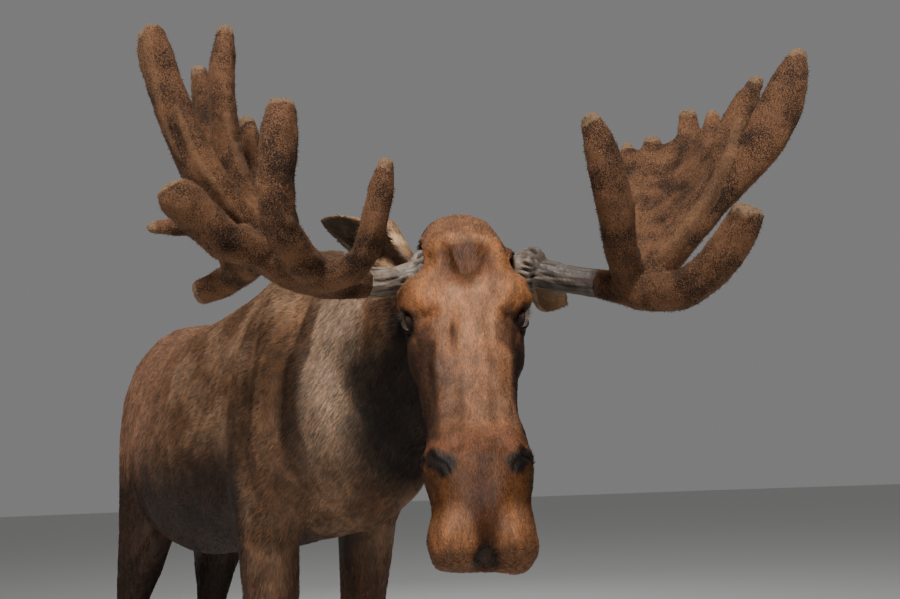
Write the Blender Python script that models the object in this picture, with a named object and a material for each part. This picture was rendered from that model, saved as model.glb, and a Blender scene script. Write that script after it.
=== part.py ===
"""Moose bull, standing with its head hanging and turned to its right: a still, life-size model.

Metres, +Z up, floor at z = 0.  The body faces -Y, so the animal's right side is -X.
"""
import bpy
import bmesh
from math import cos, pi, radians, sin
from mathutils import Matrix, Vector

# ---- driving dimensions ----
GAP = 0.0003                    # clear air between neighbouring solids
HUMP_Z = 1.944                  # top of the shoulder hump
CROUP_Z = 1.862                 # top of the hips
BELLY_Z = 1.000                 # lowest line of the barrel
HOOF_X = 0.150                  # half the stance width
STEPS = {       # how far each hoof has stepped back and out
    "foreleg_R": (-0.060, 0.000), "foreleg_L": (0.060, 0.020),
    "hindleg_R": (-0.055, 0.000), "hindleg_L": (-0.105, 0.000),
}
CORONET_Z = 0.080               # height of the coronet over the middle of a hoof
HEAD_TURN = radians(42.0)       # head turned to the right of straight ahead
RACK_TURN = radians(43.3)       # antlers, which sit a degree askew on the skull
HEAD_TILT = radians(19.4)       # face line, forward of hanging plumb
POLL = Vector((-0.130, -1.240, 1.749))
BODY_VOXEL, ANTLER_VOXEL = 0.012, 0.0062
BODY_FACES, ANTLER_FACES = 3500, 860
EYE_R = 0.021

# ---- head frame: t runs down the face, s to the animal's left, n out of the forehead ----
LEFT = Vector((cos(HEAD_TURN), -sin(HEAD_TURN), 0.0))
AHEAD = Vector((-sin(HEAD_TURN), -cos(HEAD_TURN), 0.0))
DOWN_FACE = AHEAD * sin(HEAD_TILT) - Vector((0, 0, cos(HEAD_TILT)))
OUT_FACE = AHEAD * cos(HEAD_TILT) + Vector((0, 0, sin(HEAD_TILT)))
CROWN = Vector((-0.087, -1.247, 1.630))     # midway between the antler burrs
RACK_LEFT = Vector((cos(RACK_TURN), -sin(RACK_TURN), 0.0))
RACK_AHEAD = Vector((-sin(RACK_TURN), -cos(RACK_TURN), 0.0))
UP = Vector((0, 0, 1))


def face(t, s, n):
    """A point of the head: t down the face from the poll, s left, n outward."""
    return POLL + DOWN_FACE * t + LEFT * s + OUT_FACE * n


def crown(side, out, ahead, up):
    """A point of an antler: out to its own side, ahead and up from the crown."""
    return CROWN + RACK_LEFT * (side * out) + RACK_AHEAD * ahead + UP * up


def spline(rows, steps):
    """Rows of numbers joined by a smooth curve, with `steps` new rows for each old one."""
    out = []
    for i in range(len(rows) - 1):
        a, b = rows[max(i - 1, 0)], rows[i]
        c, d = rows[i + 1], rows[min(i + 2, len(rows) - 1)]
        for k in range(steps):
            u = k / steps
            out.append([0.5 * (2 * q + (r - p) * u + (2 * p - 5 * q + 4 * r - s) * u * u
                               + (3 * q - p - 3 * r + s) * u ** 3)
                        for p, q, r, s in zip(a, b, c, d)])
    out.append(list(rows[-1]))
    return out


def new_object(name, bm):
    bmesh.ops.recalc_face_normals(bm, faces=bm.faces)
    mesh = bpy.data.meshes.new(name)
    bm.to_mesh(mesh)
    bm.free()
    obj = bpy.data.objects.new(name, mesh)
    bpy.context.scene.collection.objects.link(obj)
    return obj


def loft(name, rings):
    """A closed solid through rings of points, each end closed to its centre."""
    bm = bmesh.new()
    made = [[bm.verts.new(p) for p in ring] for ring in rings]
    count = len(made[0])
    for low, high in zip(made, made[1:]):
        for k in range(count):
            m = (k + 1) % count
            bm.faces.new((low[k], low[m], high[m], high[k]))
    for ring in (made[0], made[-1]):
        middle = bm.verts.new(sum((v.co for v in ring), Vector()) / count)
        for k in range(count):
            bm.faces.new((ring[k], ring[(k + 1) % count], middle))
    return new_object(name, bm)


def oval(centre, across, along, wide, fore, back, power_fore, power_back, sides):
    """One ring: half width `wide`, radius `fore` and `back` along `along`, squarer with power."""
    ring = []
    for k in range(sides):
        c, s = cos(2 * pi * k / sides), sin(2 * pi * k / sides)
        power = power_fore if s >= 0 else power_back
        reach = (abs(c) ** power + abs(s) ** power) ** (-1 / power)
        ring.append(centre + across * (wide * c * reach)
                    + along * ((fore if s >= 0 else back) * s * reach))
    return ring


def body_loft(name, stations, steps=4, sides=28):
    """Trunk: stations of y, top, bottom, half width, height of the widest point, powers."""
    rings = []
    for y, top, low, wide, mid, p_top, p_low in spline(stations, steps):
        rings.append(oval(Vector((0, y, mid)), Vector((1, 0, 0)), UP, wide, top - mid,
                          mid - low, p_top, p_low, sides))
    return loft(name, rings)


def step_at(z, step):
    """How far a leg has stepped at height z: nothing at the body, all at the hoof."""
    return step * min(1.0, max(0.0, (1.25 - z) / 0.6))


def limb_loft(name, side, step, stations, steps=4, sides=20):
    """Limb: stations of z, x, y, half width, reach forward, reach back."""
    rings = []
    for z, x, y, wide, fore, back in spline(stations, steps):
        place = Vector((side * (x + step_at(z, step[1])), y + step_at(z, step[0]), z))
        rings.append(oval(place, Vector((1, 0, 0)), Vector((0, -1, 0)), wide, fore, back,
                          2.1, 2.1, sides))
    return loft(name, rings)


def tube_loft(name, points, steps=4, sides=14, flat=None, power=2.0):
    """Tine or beam: points of (place, half width, half thickness) with its flat side set."""
    rows = spline([(*p, w, h) for p, w, h in points], steps)
    rings = []
    for i, row in enumerate(rows):
        near, far = rows[max(i - 1, 0)], rows[min(i + 1, len(rows) - 1)]
        way = (Vector(far[:3]) - Vector(near[:3])).normalized()
        normal = (flat - way * flat.dot(way)).normalized()
        rings.append(oval(Vector(row[:3]), way.cross(normal), normal, max(row[3], 0.002),
                          max(row[4], 0.002), max(row[4], 0.002), power, power, sides))
    return loft(name, rings)


def plate_loft(name, rows, half, steps=3):
    """A curved web of even thickness over rows of points."""
    rows = [spline([list(p) for p in row], steps) for row in rows]
    columns = [spline([row[k] for row in rows], steps) for k in range(len(rows[0]))]
    grid = [[Vector(column[i]) for column in columns] for i in range(len(columns[0]))]
    tall, wide = len(grid), len(grid[0])
    bm = bmesh.new()
    faces = [[], []]
    for i in range(tall):
        for k in range(wide):
            up = grid[min(i + 1, tall - 1)][k] - grid[max(i - 1, 0)][k]
            over = grid[i][min(k + 1, wide - 1)] - grid[i][max(k - 1, 0)]
            normal = up.cross(over).normalized() * half
            for e, way in enumerate((1, -1)):
                faces[e].append(bm.verts.new(grid[i][k] + normal * way))
    for e in (0, 1):
        for i in range(tall - 1):
            for k in range(wide - 1):
                a = i * wide + k
                bm.faces.new([faces[e][q] for q in (a, a + 1, a + wide + 1, a + wide)])
    rim = [k for k in range(wide)] + [i * wide + wide - 1 for i in range(1, tall)]
    rim += [(tall - 1) * wide + k for k in range(wide - 2, -1, -1)]
    rim += [i * wide for i in range(tall - 2, 0, -1)]
    for a, b in zip(rim, rim[1:] + rim[:1]):
        bm.faces.new((faces[0][a], faces[0][b], faces[1][b], faces[1][a]))
    return new_object(name, bm)


def ball(name, centre, radii, axes, rings=10, sides=16):
    """An ellipsoid with its radii along three axes."""
    rows = []
    for i in range(1, rings):
        a = pi * i / rings
        rows.append(oval(centre + axes[2] * (radii[2] * cos(a)), axes[0], axes[1],
                         radii[0] * sin(a), radii[1] * sin(a), radii[1] * sin(a), 2, 2, sides))
    return loft(name, rows)


def block(name, centre, size, axes=None):
    """A box of full size along its axes."""
    bm = bmesh.new()
    bmesh.ops.create_cube(bm, size=1.0)
    obj = new_object(name, bm)
    turn = Matrix([a.normalized() for a in axes]).transposed() if axes else Matrix.Identity(3)
    obj.data.transform(Matrix.Translation(centre) @ turn.to_4x4() @ Matrix.Diagonal((*size, 1)))
    return obj


def settle(obj):
    """Make the modifiers of an object real."""
    graph = bpy.context.evaluated_depsgraph_get()
    mesh = bpy.data.meshes.new_from_object(obj.evaluated_get(graph))
    obj.modifiers.clear()
    old, obj.data = obj.data, mesh
    bpy.data.meshes.remove(old)


def fuse(name, pieces, voxel, smooth, soft=None):
    """One skin round overlapping solids, smoothed again where soft(place) is high."""
    bm = bmesh.new()
    for piece in pieces:
        bm.from_mesh(piece.data)
        bpy.data.objects.remove(piece)
    whole = new_object(name, bm)
    skin = whole.modifiers.new("skin", "REMESH")
    skin.mode, skin.voxel_size, skin.adaptivity = "VOXEL", voxel, 0.0
    ease = whole.modifiers.new("ease", "SMOOTH")
    ease.factor, ease.iterations = 0.5, smooth
    settle(whole)
    if soft:
        group = whole.vertex_groups.new(name="soft")
        for vert in whole.data.vertices:
            group.add([vert.index], soft(vert.co), "REPLACE")
        ease = whole.modifiers.new("ease", "SMOOTH")
        ease.factor, ease.iterations, ease.vertex_group = 0.5, 24, "soft"
        settle(whole)
        whole.vertex_groups.clear()
    return whole


def thin_out(obj, faces, keep=None, strength=1.0):
    """Reduce to about `faces` triangles, fewer where keep(place) is low."""
    few = obj.modifiers.new("few", "DECIMATE")
    few.ratio = faces / (2.0 * len(obj.data.polygons))
    few.use_collapse_triangulate = True
    if keep:
        group = obj.vertex_groups.new(name="free")
        for vert in obj.data.vertices:
            group.add([vert.index], 1.0 - keep(vert.co), "REPLACE")
        few.vertex_group, few.vertex_group_factor = "free", strength
    settle(obj)
    obj.vertex_groups.clear()


def carve(obj, cutters, operation="DIFFERENCE", drop=True):
    """Boolean the cutters into a solid."""
    for cutter in cutters:
        cut = obj.modifiers.new("cut", "BOOLEAN")
        cut.operation, cut.object, cut.solver = operation, cutter, "EXACT"
        settle(obj)
        if drop:
            bpy.data.objects.remove(cutter)


def grown(obj, by):
    """A copy of a solid, larger by a thin skin: the tool that cuts its seat."""
    copy = obj.copy()
    copy.data = obj.data.copy()
    bpy.context.scene.collection.objects.link(copy)
    bm = bmesh.new()
    bm.from_mesh(copy.data)
    bm.normal_update()
    shift = [v.normal * by * v.calc_shell_factor() for v in bm.verts]
    for vert, move in zip(bm.verts, shift):
        vert.co += move
    bm.to_mesh(copy.data)
    bm.free()
    return copy


def split(obj):
    """The loose bodies of a solid as objects of their own, largest first."""
    bm = bmesh.new()
    bm.from_mesh(obj.data)
    left, groups = set(bm.verts), []
    while left:
        todo, seen = [left.pop()], set()
        while todo:
            vert = todo.pop()
            seen.add(vert)
            for edge in vert.link_edges:
                other = edge.other_vert(vert)
                if other in left:
                    left.remove(other)
                    todo.append(other)
        groups.append(seen)
    made = []
    for seen in groups:
        part, twin = bmesh.new(), {}
        for vert in seen:
            twin[vert] = part.verts.new(vert.co)
        faces = {face_ for vert in seen for face_ in vert.link_faces}
        for face_ in sorted(faces, key=lambda f: f.index):
            part.faces.new([twin[v] for v in face_.verts])
        made.append(new_object("piece", part))
    bm.free()
    bpy.data.objects.remove(obj)
    made.sort(key=lambda o: -len(o.data.vertices))
    return made


def centre_of(obj):
    verts = obj.data.vertices
    return sum((v.co for v in verts), Vector()) / len(verts)


def paint(obj, name, colour, rough):
    """Name a node and give it its own plain material."""
    obj.name = obj.data.name = name
    look = bpy.data.materials.new(name)
    look.use_nodes = True
    base = look.node_tree.nodes["Principled BSDF"]
    base.inputs["Base Color"].default_value = (*colour, 1)
    base.inputs["Roughness"].default_value = rough
    obj.data.materials.clear()
    obj.data.materials.append(look)


for stale in list(bpy.data.objects):
    bpy.data.objects.remove(stale)

# ---- trunk ----
TRUNK = (   # y, top, bottom, half width, height of the widest, power above, power below
    (-0.930, 1.500, 1.300, 0.060, 1.400, 2.0, 2.0),
    (-0.890, 1.590, 1.210, 0.130, 1.400, 2.0, 2.0),
    (-0.780, 1.740, 1.110, 0.200, 1.400, 1.9, 2.1),
    (-0.620, 1.880, 1.062, 0.235, 1.400, 1.7, 2.2),
    (-0.430, HUMP_Z + 0.006, 1.040, 0.248, 1.400, 1.6, 2.3),
    (-0.220, 1.882, 1.010, 0.270, 1.390, 1.8, 2.3),
    (0.000, 1.828, BELLY_Z, 0.298, 1.370, 2.1, 2.2),
    (0.180, 1.822, 0.985, 0.298, 1.380, 2.3, 2.2),
    (0.360, 1.858, 1.010, 0.272, 1.400, 2.4, 2.2),
    (0.530, CROUP_Z + 0.020, 1.080, 0.252, 1.440, 2.6, 2.2),
    (0.680, 1.845, 1.130, 0.236, 1.460, 2.8, 2.2),
    (0.780, 1.775, 1.180, 0.205, 1.460, 2.7, 2.1),
    (0.842, 1.650, 1.250, 0.140, 1.440, 2.3, 2.0),
    (0.866, 1.500, 1.330, 0.045, 1.410, 2.0, 2.0),
)
flesh = [body_loft("trunk", TRUNK)]

# ---- legs: z, x, y, half width, reach forward, reach back ----
FORE = (
    (1.870, 0.060, -0.430, 0.020, 0.040, 0.050),
    (1.790, 0.105, -0.440, 0.052, 0.110, 0.120),
    (1.640, 0.160, -0.470, 0.080, 0.165, 0.160),
    (1.470, 0.188, -0.530, 0.092, 0.205, 0.190),
    (1.320, 0.192, -0.540, 0.090, 0.190, 0.215),
    (1.190, 0.184, -0.505, 0.082, 0.130, 0.175),
    (1.080, 0.174, -0.485, 0.074, 0.095, 0.125),
    (0.960, 0.168, -0.480, 0.066, 0.082, 0.098),
    (0.820, 0.162, -0.480, 0.055, 0.066, 0.076),
    (0.690, 0.158, -0.482, 0.048, 0.054, 0.058),
    (0.620, 0.156, -0.485, 0.051, 0.056, 0.052),
    (0.555, 0.155, -0.486, 0.050, 0.055, 0.053),
    (0.480, 0.154, -0.480, 0.038, 0.042, 0.046),
    (0.360, 0.153, -0.476, 0.033, 0.037, 0.041),
    (0.250, 0.152, -0.474, 0.035, 0.039, 0.043),
    (0.180, HOOF_X, -0.476, 0.046, 0.045, 0.053),
    (0.120, HOOF_X, -0.492, 0.048, 0.047, 0.052),
    (0.070, HOOF_X, -0.510, 0.056, 0.058, 0.048),
    (0.020, HOOF_X, -0.516, 0.054, 0.056, 0.042),
)
HIND = (
    (1.790, 0.100, 0.620, 0.040, 0.080, 0.090),
    (1.690, 0.128, 0.610, 0.082, 0.150, 0.170),
    (1.540, 0.138, 0.590, 0.102, 0.190, 0.235),
    (1.370, 0.138, 0.565, 0.098, 0.195, 0.268),
    (1.210, 0.138, 0.548, 0.090, 0.185, 0.264),
    (1.100, 0.140, 0.550, 0.082, 0.165, 0.240),
    (0.980, 0.143, 0.578, 0.071, 0.135, 0.192),
    (0.870, 0.146, 0.622, 0.057, 0.092, 0.122),
    (0.790, 0.148, 0.652, 0.046, 0.062, 0.103),
    (0.735, 0.149, 0.668, 0.044, 0.056, 0.098),
    (0.680, 0.149, 0.678, 0.046, 0.057, 0.076),
    (0.610, 0.150, 0.682, 0.043, 0.053, 0.058),
    (0.530, 0.151, 0.678, 0.036, 0.042, 0.047),
    (0.400, 0.151, 0.670, 0.033, 0.038, 0.043),
    (0.260, 0.150, 0.662, 0.036, 0.041, 0.047),
    (0.180, HOOF_X, 0.658, 0.045, 0.045, 0.055),
    (0.120, HOOF_X, 0.642, 0.047, 0.046, 0.052),
    (0.070, HOOF_X, 0.623, 0.054, 0.056, 0.047),
    (0.020, HOOF_X, 0.617, 0.052, 0.054, 0.042),
)
LEGS = (("foreleg_R", -1, FORE), ("foreleg_L", 1, FORE), ("hindleg_R", -1, HIND),
        ("hindleg_L", 1, HIND))
for leg, side, stations in LEGS:
    flesh.append(limb_loft(leg, side, STEPS[leg], stations))

# ---- neck: place, across, half width, reach up, reach down ----
NECK = (
    (Vector((0.000, -0.520, 1.500)), Vector((1, 0, 0)), 0.210, 0.400, 0.340),
    (Vector((0.005, -0.740, 1.520)), Vector((1, 0, 0)), 0.200, 0.300, 0.330),
    (Vector((0.008, -0.920, 1.540)), Vector((1, -0.15, 0)), 0.178, 0.245, 0.280),
    (Vector((-0.004, -1.070, 1.555)), Vector((1, -0.40, 0)), 0.155, 0.215, 0.225),
    (Vector((-0.040, -1.180, 1.560)), Vector((1, -0.70, 0)), 0.128, 0.185, 0.190),
    (Vector((-0.080, -1.240, 1.570)), Vector((1, -0.90, 0)), 0.090, 0.150, 0.150),
)
rows = spline([(*p, *a.normalized(), w, u, d) for p, a, w, u, d in NECK], 5)
rings = []
for i, row in enumerate(rows):
    near, far = rows[max(i - 1, 0)], rows[min(i + 1, len(rows) - 1)]
    way = (Vector(far[:3]) - Vector(near[:3])).normalized()
    across = Vector(row[3:6])
    across = (across - way * across.dot(way)).normalized()
    rise = across.cross(way) if across.cross(way).z > 0 else way.cross(across)
    rings.append(oval(Vector(row[:3]), across, rise, row[6], row[7], row[8], 1.9, 1.9, 24))
flesh.append(loft("neck", rings))

# ---- head: t, line of the face, line of the throat, depth of the widest, half width, powers ----
HEAD = (
    (-0.035, -0.040, -0.130, -0.080, 0.050, 2.0, 2.0),
    (-0.015, -0.012, -0.180, -0.080, 0.077, 2.2, 2.0),
    (0.060, 0.022, -0.225, -0.070, 0.099, 2.4, 2.0),
    (0.150, 0.042, -0.245, -0.055, 0.120, 2.5, 1.9),
    (0.225, 0.046, -0.252, -0.035, 0.127, 2.8, 1.8),
    (0.300, 0.040, -0.245, -0.050, 0.115, 2.8, 1.9),
    (0.370, 0.038, -0.220, -0.055, 0.099, 2.8, 1.9),
    (0.440, 0.046, -0.190, -0.035, 0.088, 3.0, 1.9),
    (0.510, 0.064, -0.155, -0.010, 0.082, 3.2, 2.0),
    (0.565, 0.086, -0.125, 0.010, 0.086, 3.1, 2.1),
    (0.605, 0.101, -0.098, 0.022, 0.086, 2.9, 2.2),
    (0.635, 0.105, -0.078, 0.024, 0.082, 2.8, 2.2),
    (0.670, 0.104, -0.056, 0.024, 0.078, 2.9, 2.2),
    (0.705, 0.098, -0.035, 0.026, 0.080, 3.0, 2.3),
    (0.735, 0.084, -0.022, 0.028, 0.082, 3.0, 2.4),
    (0.752, 0.062, -0.006, 0.028, 0.072, 2.7, 2.3),
    (0.759, 0.046, 0.008, 0.028, 0.048, 2.4, 2.2),
)
rings = [oval(face(t, 0.006 * min(1, max(0, (t - 0.42) / 0.13)), mid), LEFT, OUT_FACE, wide,
              top - mid, mid - low, pf, pb, 28)
         for t, top, low, mid, wide, pf, pb in spline(HEAD, 4)]
flesh.append(loft("head", rings))
JAW = (     # t, n of the middle, half width, half depth
    (0.330, -0.185, 0.060, 0.070),
    (0.420, -0.150, 0.056, 0.062),
    (0.520, -0.112, 0.050, 0.052),
    (0.600, -0.078, 0.048, 0.046),
    (0.660, -0.056, 0.050, 0.042),
    (0.695, -0.046, 0.044, 0.034),
    (0.712, -0.042, 0.026, 0.020),
)
rings = [oval(face(t, 0, n), LEFT, OUT_FACE, wide, deep, deep, 2.2, 2.2, 18)
         for t, n, wide, deep in spline(JAW, 3)]
flesh.append(loft("jaw", rings))
LUMPS = (   # t, s, n, then radii along t, s and n
    (0.225, 0.098, 0.002, 0.050, 0.040, 0.036),     # brow over the eye
    (0.320, 0.086, -0.060, 0.070, 0.028, 0.050),    # cheek bone under the eye
    (0.275, 0.062, -0.145, 0.120, 0.042, 0.080),    # jaw muscle
    (0.604, 0.050, 0.048, 0.056, 0.036, 0.052),     # flare over the nostril
    (0.716, 0.046, 0.040, 0.040, 0.036, 0.054),     # side of the upper lip
)
for side in (-1, 1):
    for t, s, n, along, wide, deep in LUMPS:
        flesh.append(ball("lump", face(t, side * s, n), (wide, deep, along),
                          (LEFT, OUT_FACE, DOWN_FACE)))
    pedicle = [(crown(side, 0.030, -0.030, 0.005), 0.052, 0.052),
               (crown(side, 0.106, -0.010, 0.000), 0.040, 0.040)]
    flesh.append(tube_loft("pedicle", pedicle, flat=UP))
    stalk = [(crown(side, 0.070, -0.090, 0.015), 0.045, 0.045),
             (crown(side, 0.140, -0.094, 0.044), 0.032, 0.032)]
    flesh.append(tube_loft("ear_stalk", stalk, flat=UP))

# ---- bell under the throat, and the tail ----
THROAT = face(0.325, 0, -0.238)
bell = [(THROAT + UP * 0.05, 0.060, 0.034), (THROAT - UP * 0.05, 0.056, 0.030),
        (THROAT - UP * 0.13, 0.042, 0.024), (THROAT - UP * 0.20, 0.028, 0.018),
        (THROAT - UP * 0.235, 0.010, 0.008)]
flesh.append(tube_loft("bell", bell, flat=LEFT))
tail = [(Vector((0, 0.775, 1.705)), 0.044, 0.032), (Vector((0, 0.862, 1.675)), 0.042, 0.029),
        (Vector((0, 0.903, 1.615)), 0.038, 0.024), (Vector((0, 0.912, 1.550)), 0.031, 0.021),
        (Vector((0, 0.908, 1.500)), 0.019, 0.014)]
flesh.append(tube_loft("tail", tail, flat=Vector((0, 1, 0.3))))

HEAD_MID = face(0.35, 0, -0.06)


def trunk_only(place):
    """1 on the trunk and neck, fading to 0 on the head and the legs."""
    head = min(1.0, max(0.0, ((place - HEAD_MID).length - 0.44) / 0.10))
    head *= min(1.0, max(0.0, (0.86 - place.y) / 0.04))
    return head * min(1.0, max(0.0, (place.z - 0.98) / 0.12))


moose = fuse("moose", flesh, BODY_VOXEL, 2, trunk_only)


def detail(place):
    """How much of the shape is kept: most on the head, least on the trunk."""
    if (place - HEAD_MID).length < 0.48:
        return 0.55
    return 0.30 if place.z < 0.9 else 0.60 if place.y > 0.86 else 0.12


thin_out(moose, BODY_FACES, detail, 1.0)

# ---- antlers: (out, ahead, up) of each point, half width, half thickness ----
BEAM_ROOT = ((0.085, -0.006, 0.001), 0.036, 0.036)
ANTLERS = {
    "R": {
        "beam": ((0, 0, 1), [BEAM_ROOT, ((0.118, 0.000, 0.000), 0.040, 0.040),
                 ((0.135, 0.004, -0.008), 0.032, 0.032), ((0.182, 0.017, -0.025), 0.031, 0.031),
                 ((0.243, 0.055, -0.039), 0.032, 0.031), ((0.305, 0.108, -0.052), 0.038, 0.034),
                 ((0.370, 0.149, -0.043), 0.044, 0.034), ((0.434, 0.159, -0.008), 0.046, 0.032),
                 ((0.470, 0.155, 0.020), 0.030, 0.024)]),
        "brow_inner": ((0, 1, 0), [((0.305, 0.150, -0.060), 0.030, 0.030),
                       ((0.250, 0.205, -0.063), 0.027, 0.027), ((0.215, 0.242, -0.042), 0.025, 0.025),
                       ((0.196, 0.275, -0.003), 0.024, 0.024), ((0.178, 0.296, 0.066), 0.022, 0.022),
                       ((0.167, 0.311, 0.114), 0.014, 0.014)]),
        "brow_outer": ((0, 1, 0), [((0.320, 0.150, -0.055), 0.034, 0.034),
                       ((0.341, 0.242, -0.045), 0.033, 0.032), ((0.363, 0.297, 0.000), 0.032, 0.031),
                       ((0.363, 0.328, 0.067), 0.031, 0.030), ((0.357, 0.343, 0.149), 0.033, 0.031),
                       ((0.352, 0.351, 0.214), 0.026, 0.024)]),
        "knob": ((0, 0, 1), [((0.420, 0.170, -0.010), 0.036, 0.036),
                 ((0.479, 0.243, -0.008), 0.036, 0.036), ((0.514, 0.294, 0.024), 0.036, 0.036),
                 ((0.538, 0.318, 0.046), 0.039, 0.039), ((0.552, 0.330, 0.064), 0.026, 0.026)]),
        "tine_1": ((0.6, 0.8, 0), [((0.425, 0.150, -0.010), 0.040, 0.026),
                   ((0.510, 0.223, 0.095), 0.046, 0.025), ((0.562, 0.264, 0.195), 0.044, 0.024),
                   ((0.598, 0.295, 0.298), 0.043, 0.023), ((0.618, 0.318, 0.373), 0.043, 0.022),
                   ((0.622, 0.326, 0.402), 0.037, 0.018)]),
        "tine_2": ((0.6, 0.8, 0), [((0.440, 0.144, 0.009), 0.040, 0.024),
                   ((0.470, 0.174, 0.107), 0.036, 0.023), ((0.504, 0.195, 0.210), 0.032, 0.023),
                   ((0.516, 0.216, 0.314), 0.031, 0.022), ((0.514, 0.235, 0.409), 0.028, 0.021),
                   ((0.509, 0.244, 0.474), 0.018, 0.016)]),
        "tine_3": ((0.6, 0.8, 0), [((0.450, 0.130, 0.020), 0.045, 0.020),
                   ((0.520, 0.062, 0.151), 0.046, 0.018), ((0.598, 0.049, 0.312), 0.031, 0.019),
                   ((0.625, 0.066, 0.436), 0.029, 0.018), ((0.631, 0.086, 0.500), 0.024, 0.016)]),
        "tine_4": ((0.6, 0.8, 0), [((0.450, 0.130, 0.020), 0.045, 0.020),
                   ((0.485, 0.055, 0.129), 0.044, 0.018), ((0.515, 0.034, 0.265), 0.033, 0.018),
                   ((0.521, 0.040, 0.350), 0.032, 0.018), ((0.525, 0.050, 0.384), 0.024, 0.015)]),
        "tine_5": ((0.6, 0.8, 0), [((0.450, 0.130, 0.020), 0.045, 0.020),
                   ((0.565, 0.022, 0.123), 0.044, 0.018), ((0.650, -0.025, 0.143), 0.024, 0.017),
                   ((0.720, -0.042, 0.152), 0.020, 0.017), ((0.772, -0.041, 0.153), 0.018, 0.016)]),
        "tine_6": ((0.6, 0.8, 0), [((0.440, 0.140, 0.010), 0.045, 0.022),
                   ((0.498, 0.040, 0.020), 0.040, 0.024), ((0.562, -0.021, 0.006), 0.033, 0.028),
                   ((0.612, -0.027, -0.014), 0.032, 0.030), ((0.638, -0.028, -0.025), 0.029, 0.027)]),
    },
    "L": {
        "beam": ((0, 0, 1), [BEAM_ROOT, ((0.118, 0.000, 0.000), 0.040, 0.040),
                 ((0.135, 0.004, -0.012), 0.032, 0.032), ((0.178, 0.024, -0.034), 0.030, 0.030),
                 ((0.253, 0.066, -0.065), 0.031, 0.030), ((0.316, 0.120, -0.098), 0.038, 0.034),
                 ((0.335, 0.135, -0.095), 0.036, 0.030)]),
        "brow_inner": ((0, 1, 0), [((0.310, 0.120, -0.093), 0.032, 0.032),
                       ((0.271, 0.190, -0.038), 0.030, 0.030), ((0.254, 0.249, 0.020), 0.033, 0.031),
                       ((0.234, 0.289, 0.082), 0.032, 0.029), ((0.219, 0.307, 0.139), 0.026, 0.024),
                       ((0.204, 0.320, 0.184), 0.017, 0.016)]),
        "brow_outer": ((0, 1, 0), [((0.310, 0.120, -0.100), 0.038, 0.034),
                       ((0.368, 0.204, -0.127), 0.036, 0.035), ((0.408, 0.273, -0.106), 0.033, 0.032),
                       ((0.435, 0.318, -0.068), 0.031, 0.030), ((0.452, 0.350, -0.030), 0.028, 0.028)]),
        "ridge": ((-0.3, 1, 0), [((0.316, 0.120, -0.095), 0.034, 0.030),
                  ((0.380, 0.160, -0.030), 0.034, 0.027), ((0.438, 0.180, 0.034), 0.034, 0.025),
                  ((0.494, 0.190, 0.103), 0.038, 0.024), ((0.530, 0.205, 0.150), 0.028, 0.020)]),
        "tine_1": ((-0.3, 1, 0), [((0.470, 0.180, 0.070), 0.036, 0.022),
                   ((0.505, 0.186, 0.130), 0.038, 0.022), ((0.524, 0.190, 0.194), 0.036, 0.021),
                   ((0.556, 0.196, 0.265), 0.026, 0.019), ((0.595, 0.204, 0.330), 0.014, 0.012)]),
        "tine_2": ((-0.3, 1, 0), [((0.470, 0.185, 0.070), 0.036, 0.022),
                   ((0.552, 0.236, 0.152), 0.041, 0.021), ((0.594, 0.258, 0.225), 0.040, 0.020),
                   ((0.626, 0.269, 0.295), 0.028, 0.018), ((0.646, 0.272, 0.340), 0.016, 0.013)]),
        "nub_1": ((0, 1, 0), [((0.374, -0.030, 0.255), 0.024, 0.014),
                  ((0.378, -0.034, 0.300), 0.020, 0.013), ((0.381, -0.033, 0.330), 0.010, 0.009)]),
        "nub_2": ((0, 1, 0), [((0.436, -0.022, 0.260), 0.033, 0.015),
                  ((0.438, -0.030, 0.305), 0.027, 0.015), ((0.440, -0.031, 0.340), 0.018, 0.013)]),
        "nub_3": ((0, 1, 0), [((0.500, 0.020, 0.240), 0.032, 0.015),
                  ((0.517, 0.004, 0.320), 0.029, 0.016), ((0.522, 0.004, 0.386), 0.020, 0.014)]),
        "nub_4": ((0, 1, 0), [((0.535, 0.080, 0.230), 0.030, 0.015),
                  ((0.555, 0.050, 0.300), 0.025, 0.015), ((0.563, 0.038, 0.360), 0.014, 0.012)]),
    },
}
PLATES = {   # the webs of the palms: rows of (out, ahead, up) from the fork to the rim
    "R": (((0.425, 0.170, 0.000), (0.440, 0.155, 0.005), (0.450, 0.140, 0.005), (0.455, 0.125, 0.0)),
          ((0.480, 0.195, 0.085), (0.492, 0.120, 0.100), (0.530, 0.080, 0.078), (0.500, 0.060, 0.016)),
          ((0.505, 0.205, 0.150), (0.530, 0.080, 0.190), (0.600, 0.010, 0.132), (0.555, -0.005, 0.016))),
    "L": (((0.322, 0.115, -0.060), (0.338, 0.122, -0.058), (0.355, 0.130, -0.055), (0.370, 0.140, -0.050)),
          ((0.332, 0.078, 0.030), (0.378, 0.085, 0.035), (0.420, 0.115, 0.035), (0.452, 0.165, 0.038)),
          ((0.345, 0.024, 0.130), (0.405, 0.030, 0.135), (0.460, 0.070, 0.138), (0.508, 0.155, 0.130)),
          ((0.358, -0.016, 0.220), (0.422, -0.008, 0.225), (0.485, 0.035, 0.232), (0.545, 0.140, 0.215)),
          ((0.372, -0.033, 0.290), (0.440, -0.028, 0.297), (0.512, 0.015, 0.305), (0.566, 0.115, 0.262))),
}
PLATE_HALF = 0.0125
# where each antler is parted: name of the piece beyond the cut, its path, how far along
FORKS = {
    "R": (("brow_inner", 0.16), ("brow_outer", 0.20), ("beam", 0.50), ("knob", 0.34),
          ("tine_1", 0.42), ("tine_2", 0.42), ("tine_3", 0.48), ("tine_4", 0.62),
          ("tine_5", 0.42), ("tine_6", 0.50)),
    "L": (("brow_inner", 0.22), ("brow_outer", 0.24), ("beam", 0.667), ("tine_1", 0.56),
          ("tine_2", 0.40)),
}


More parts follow.
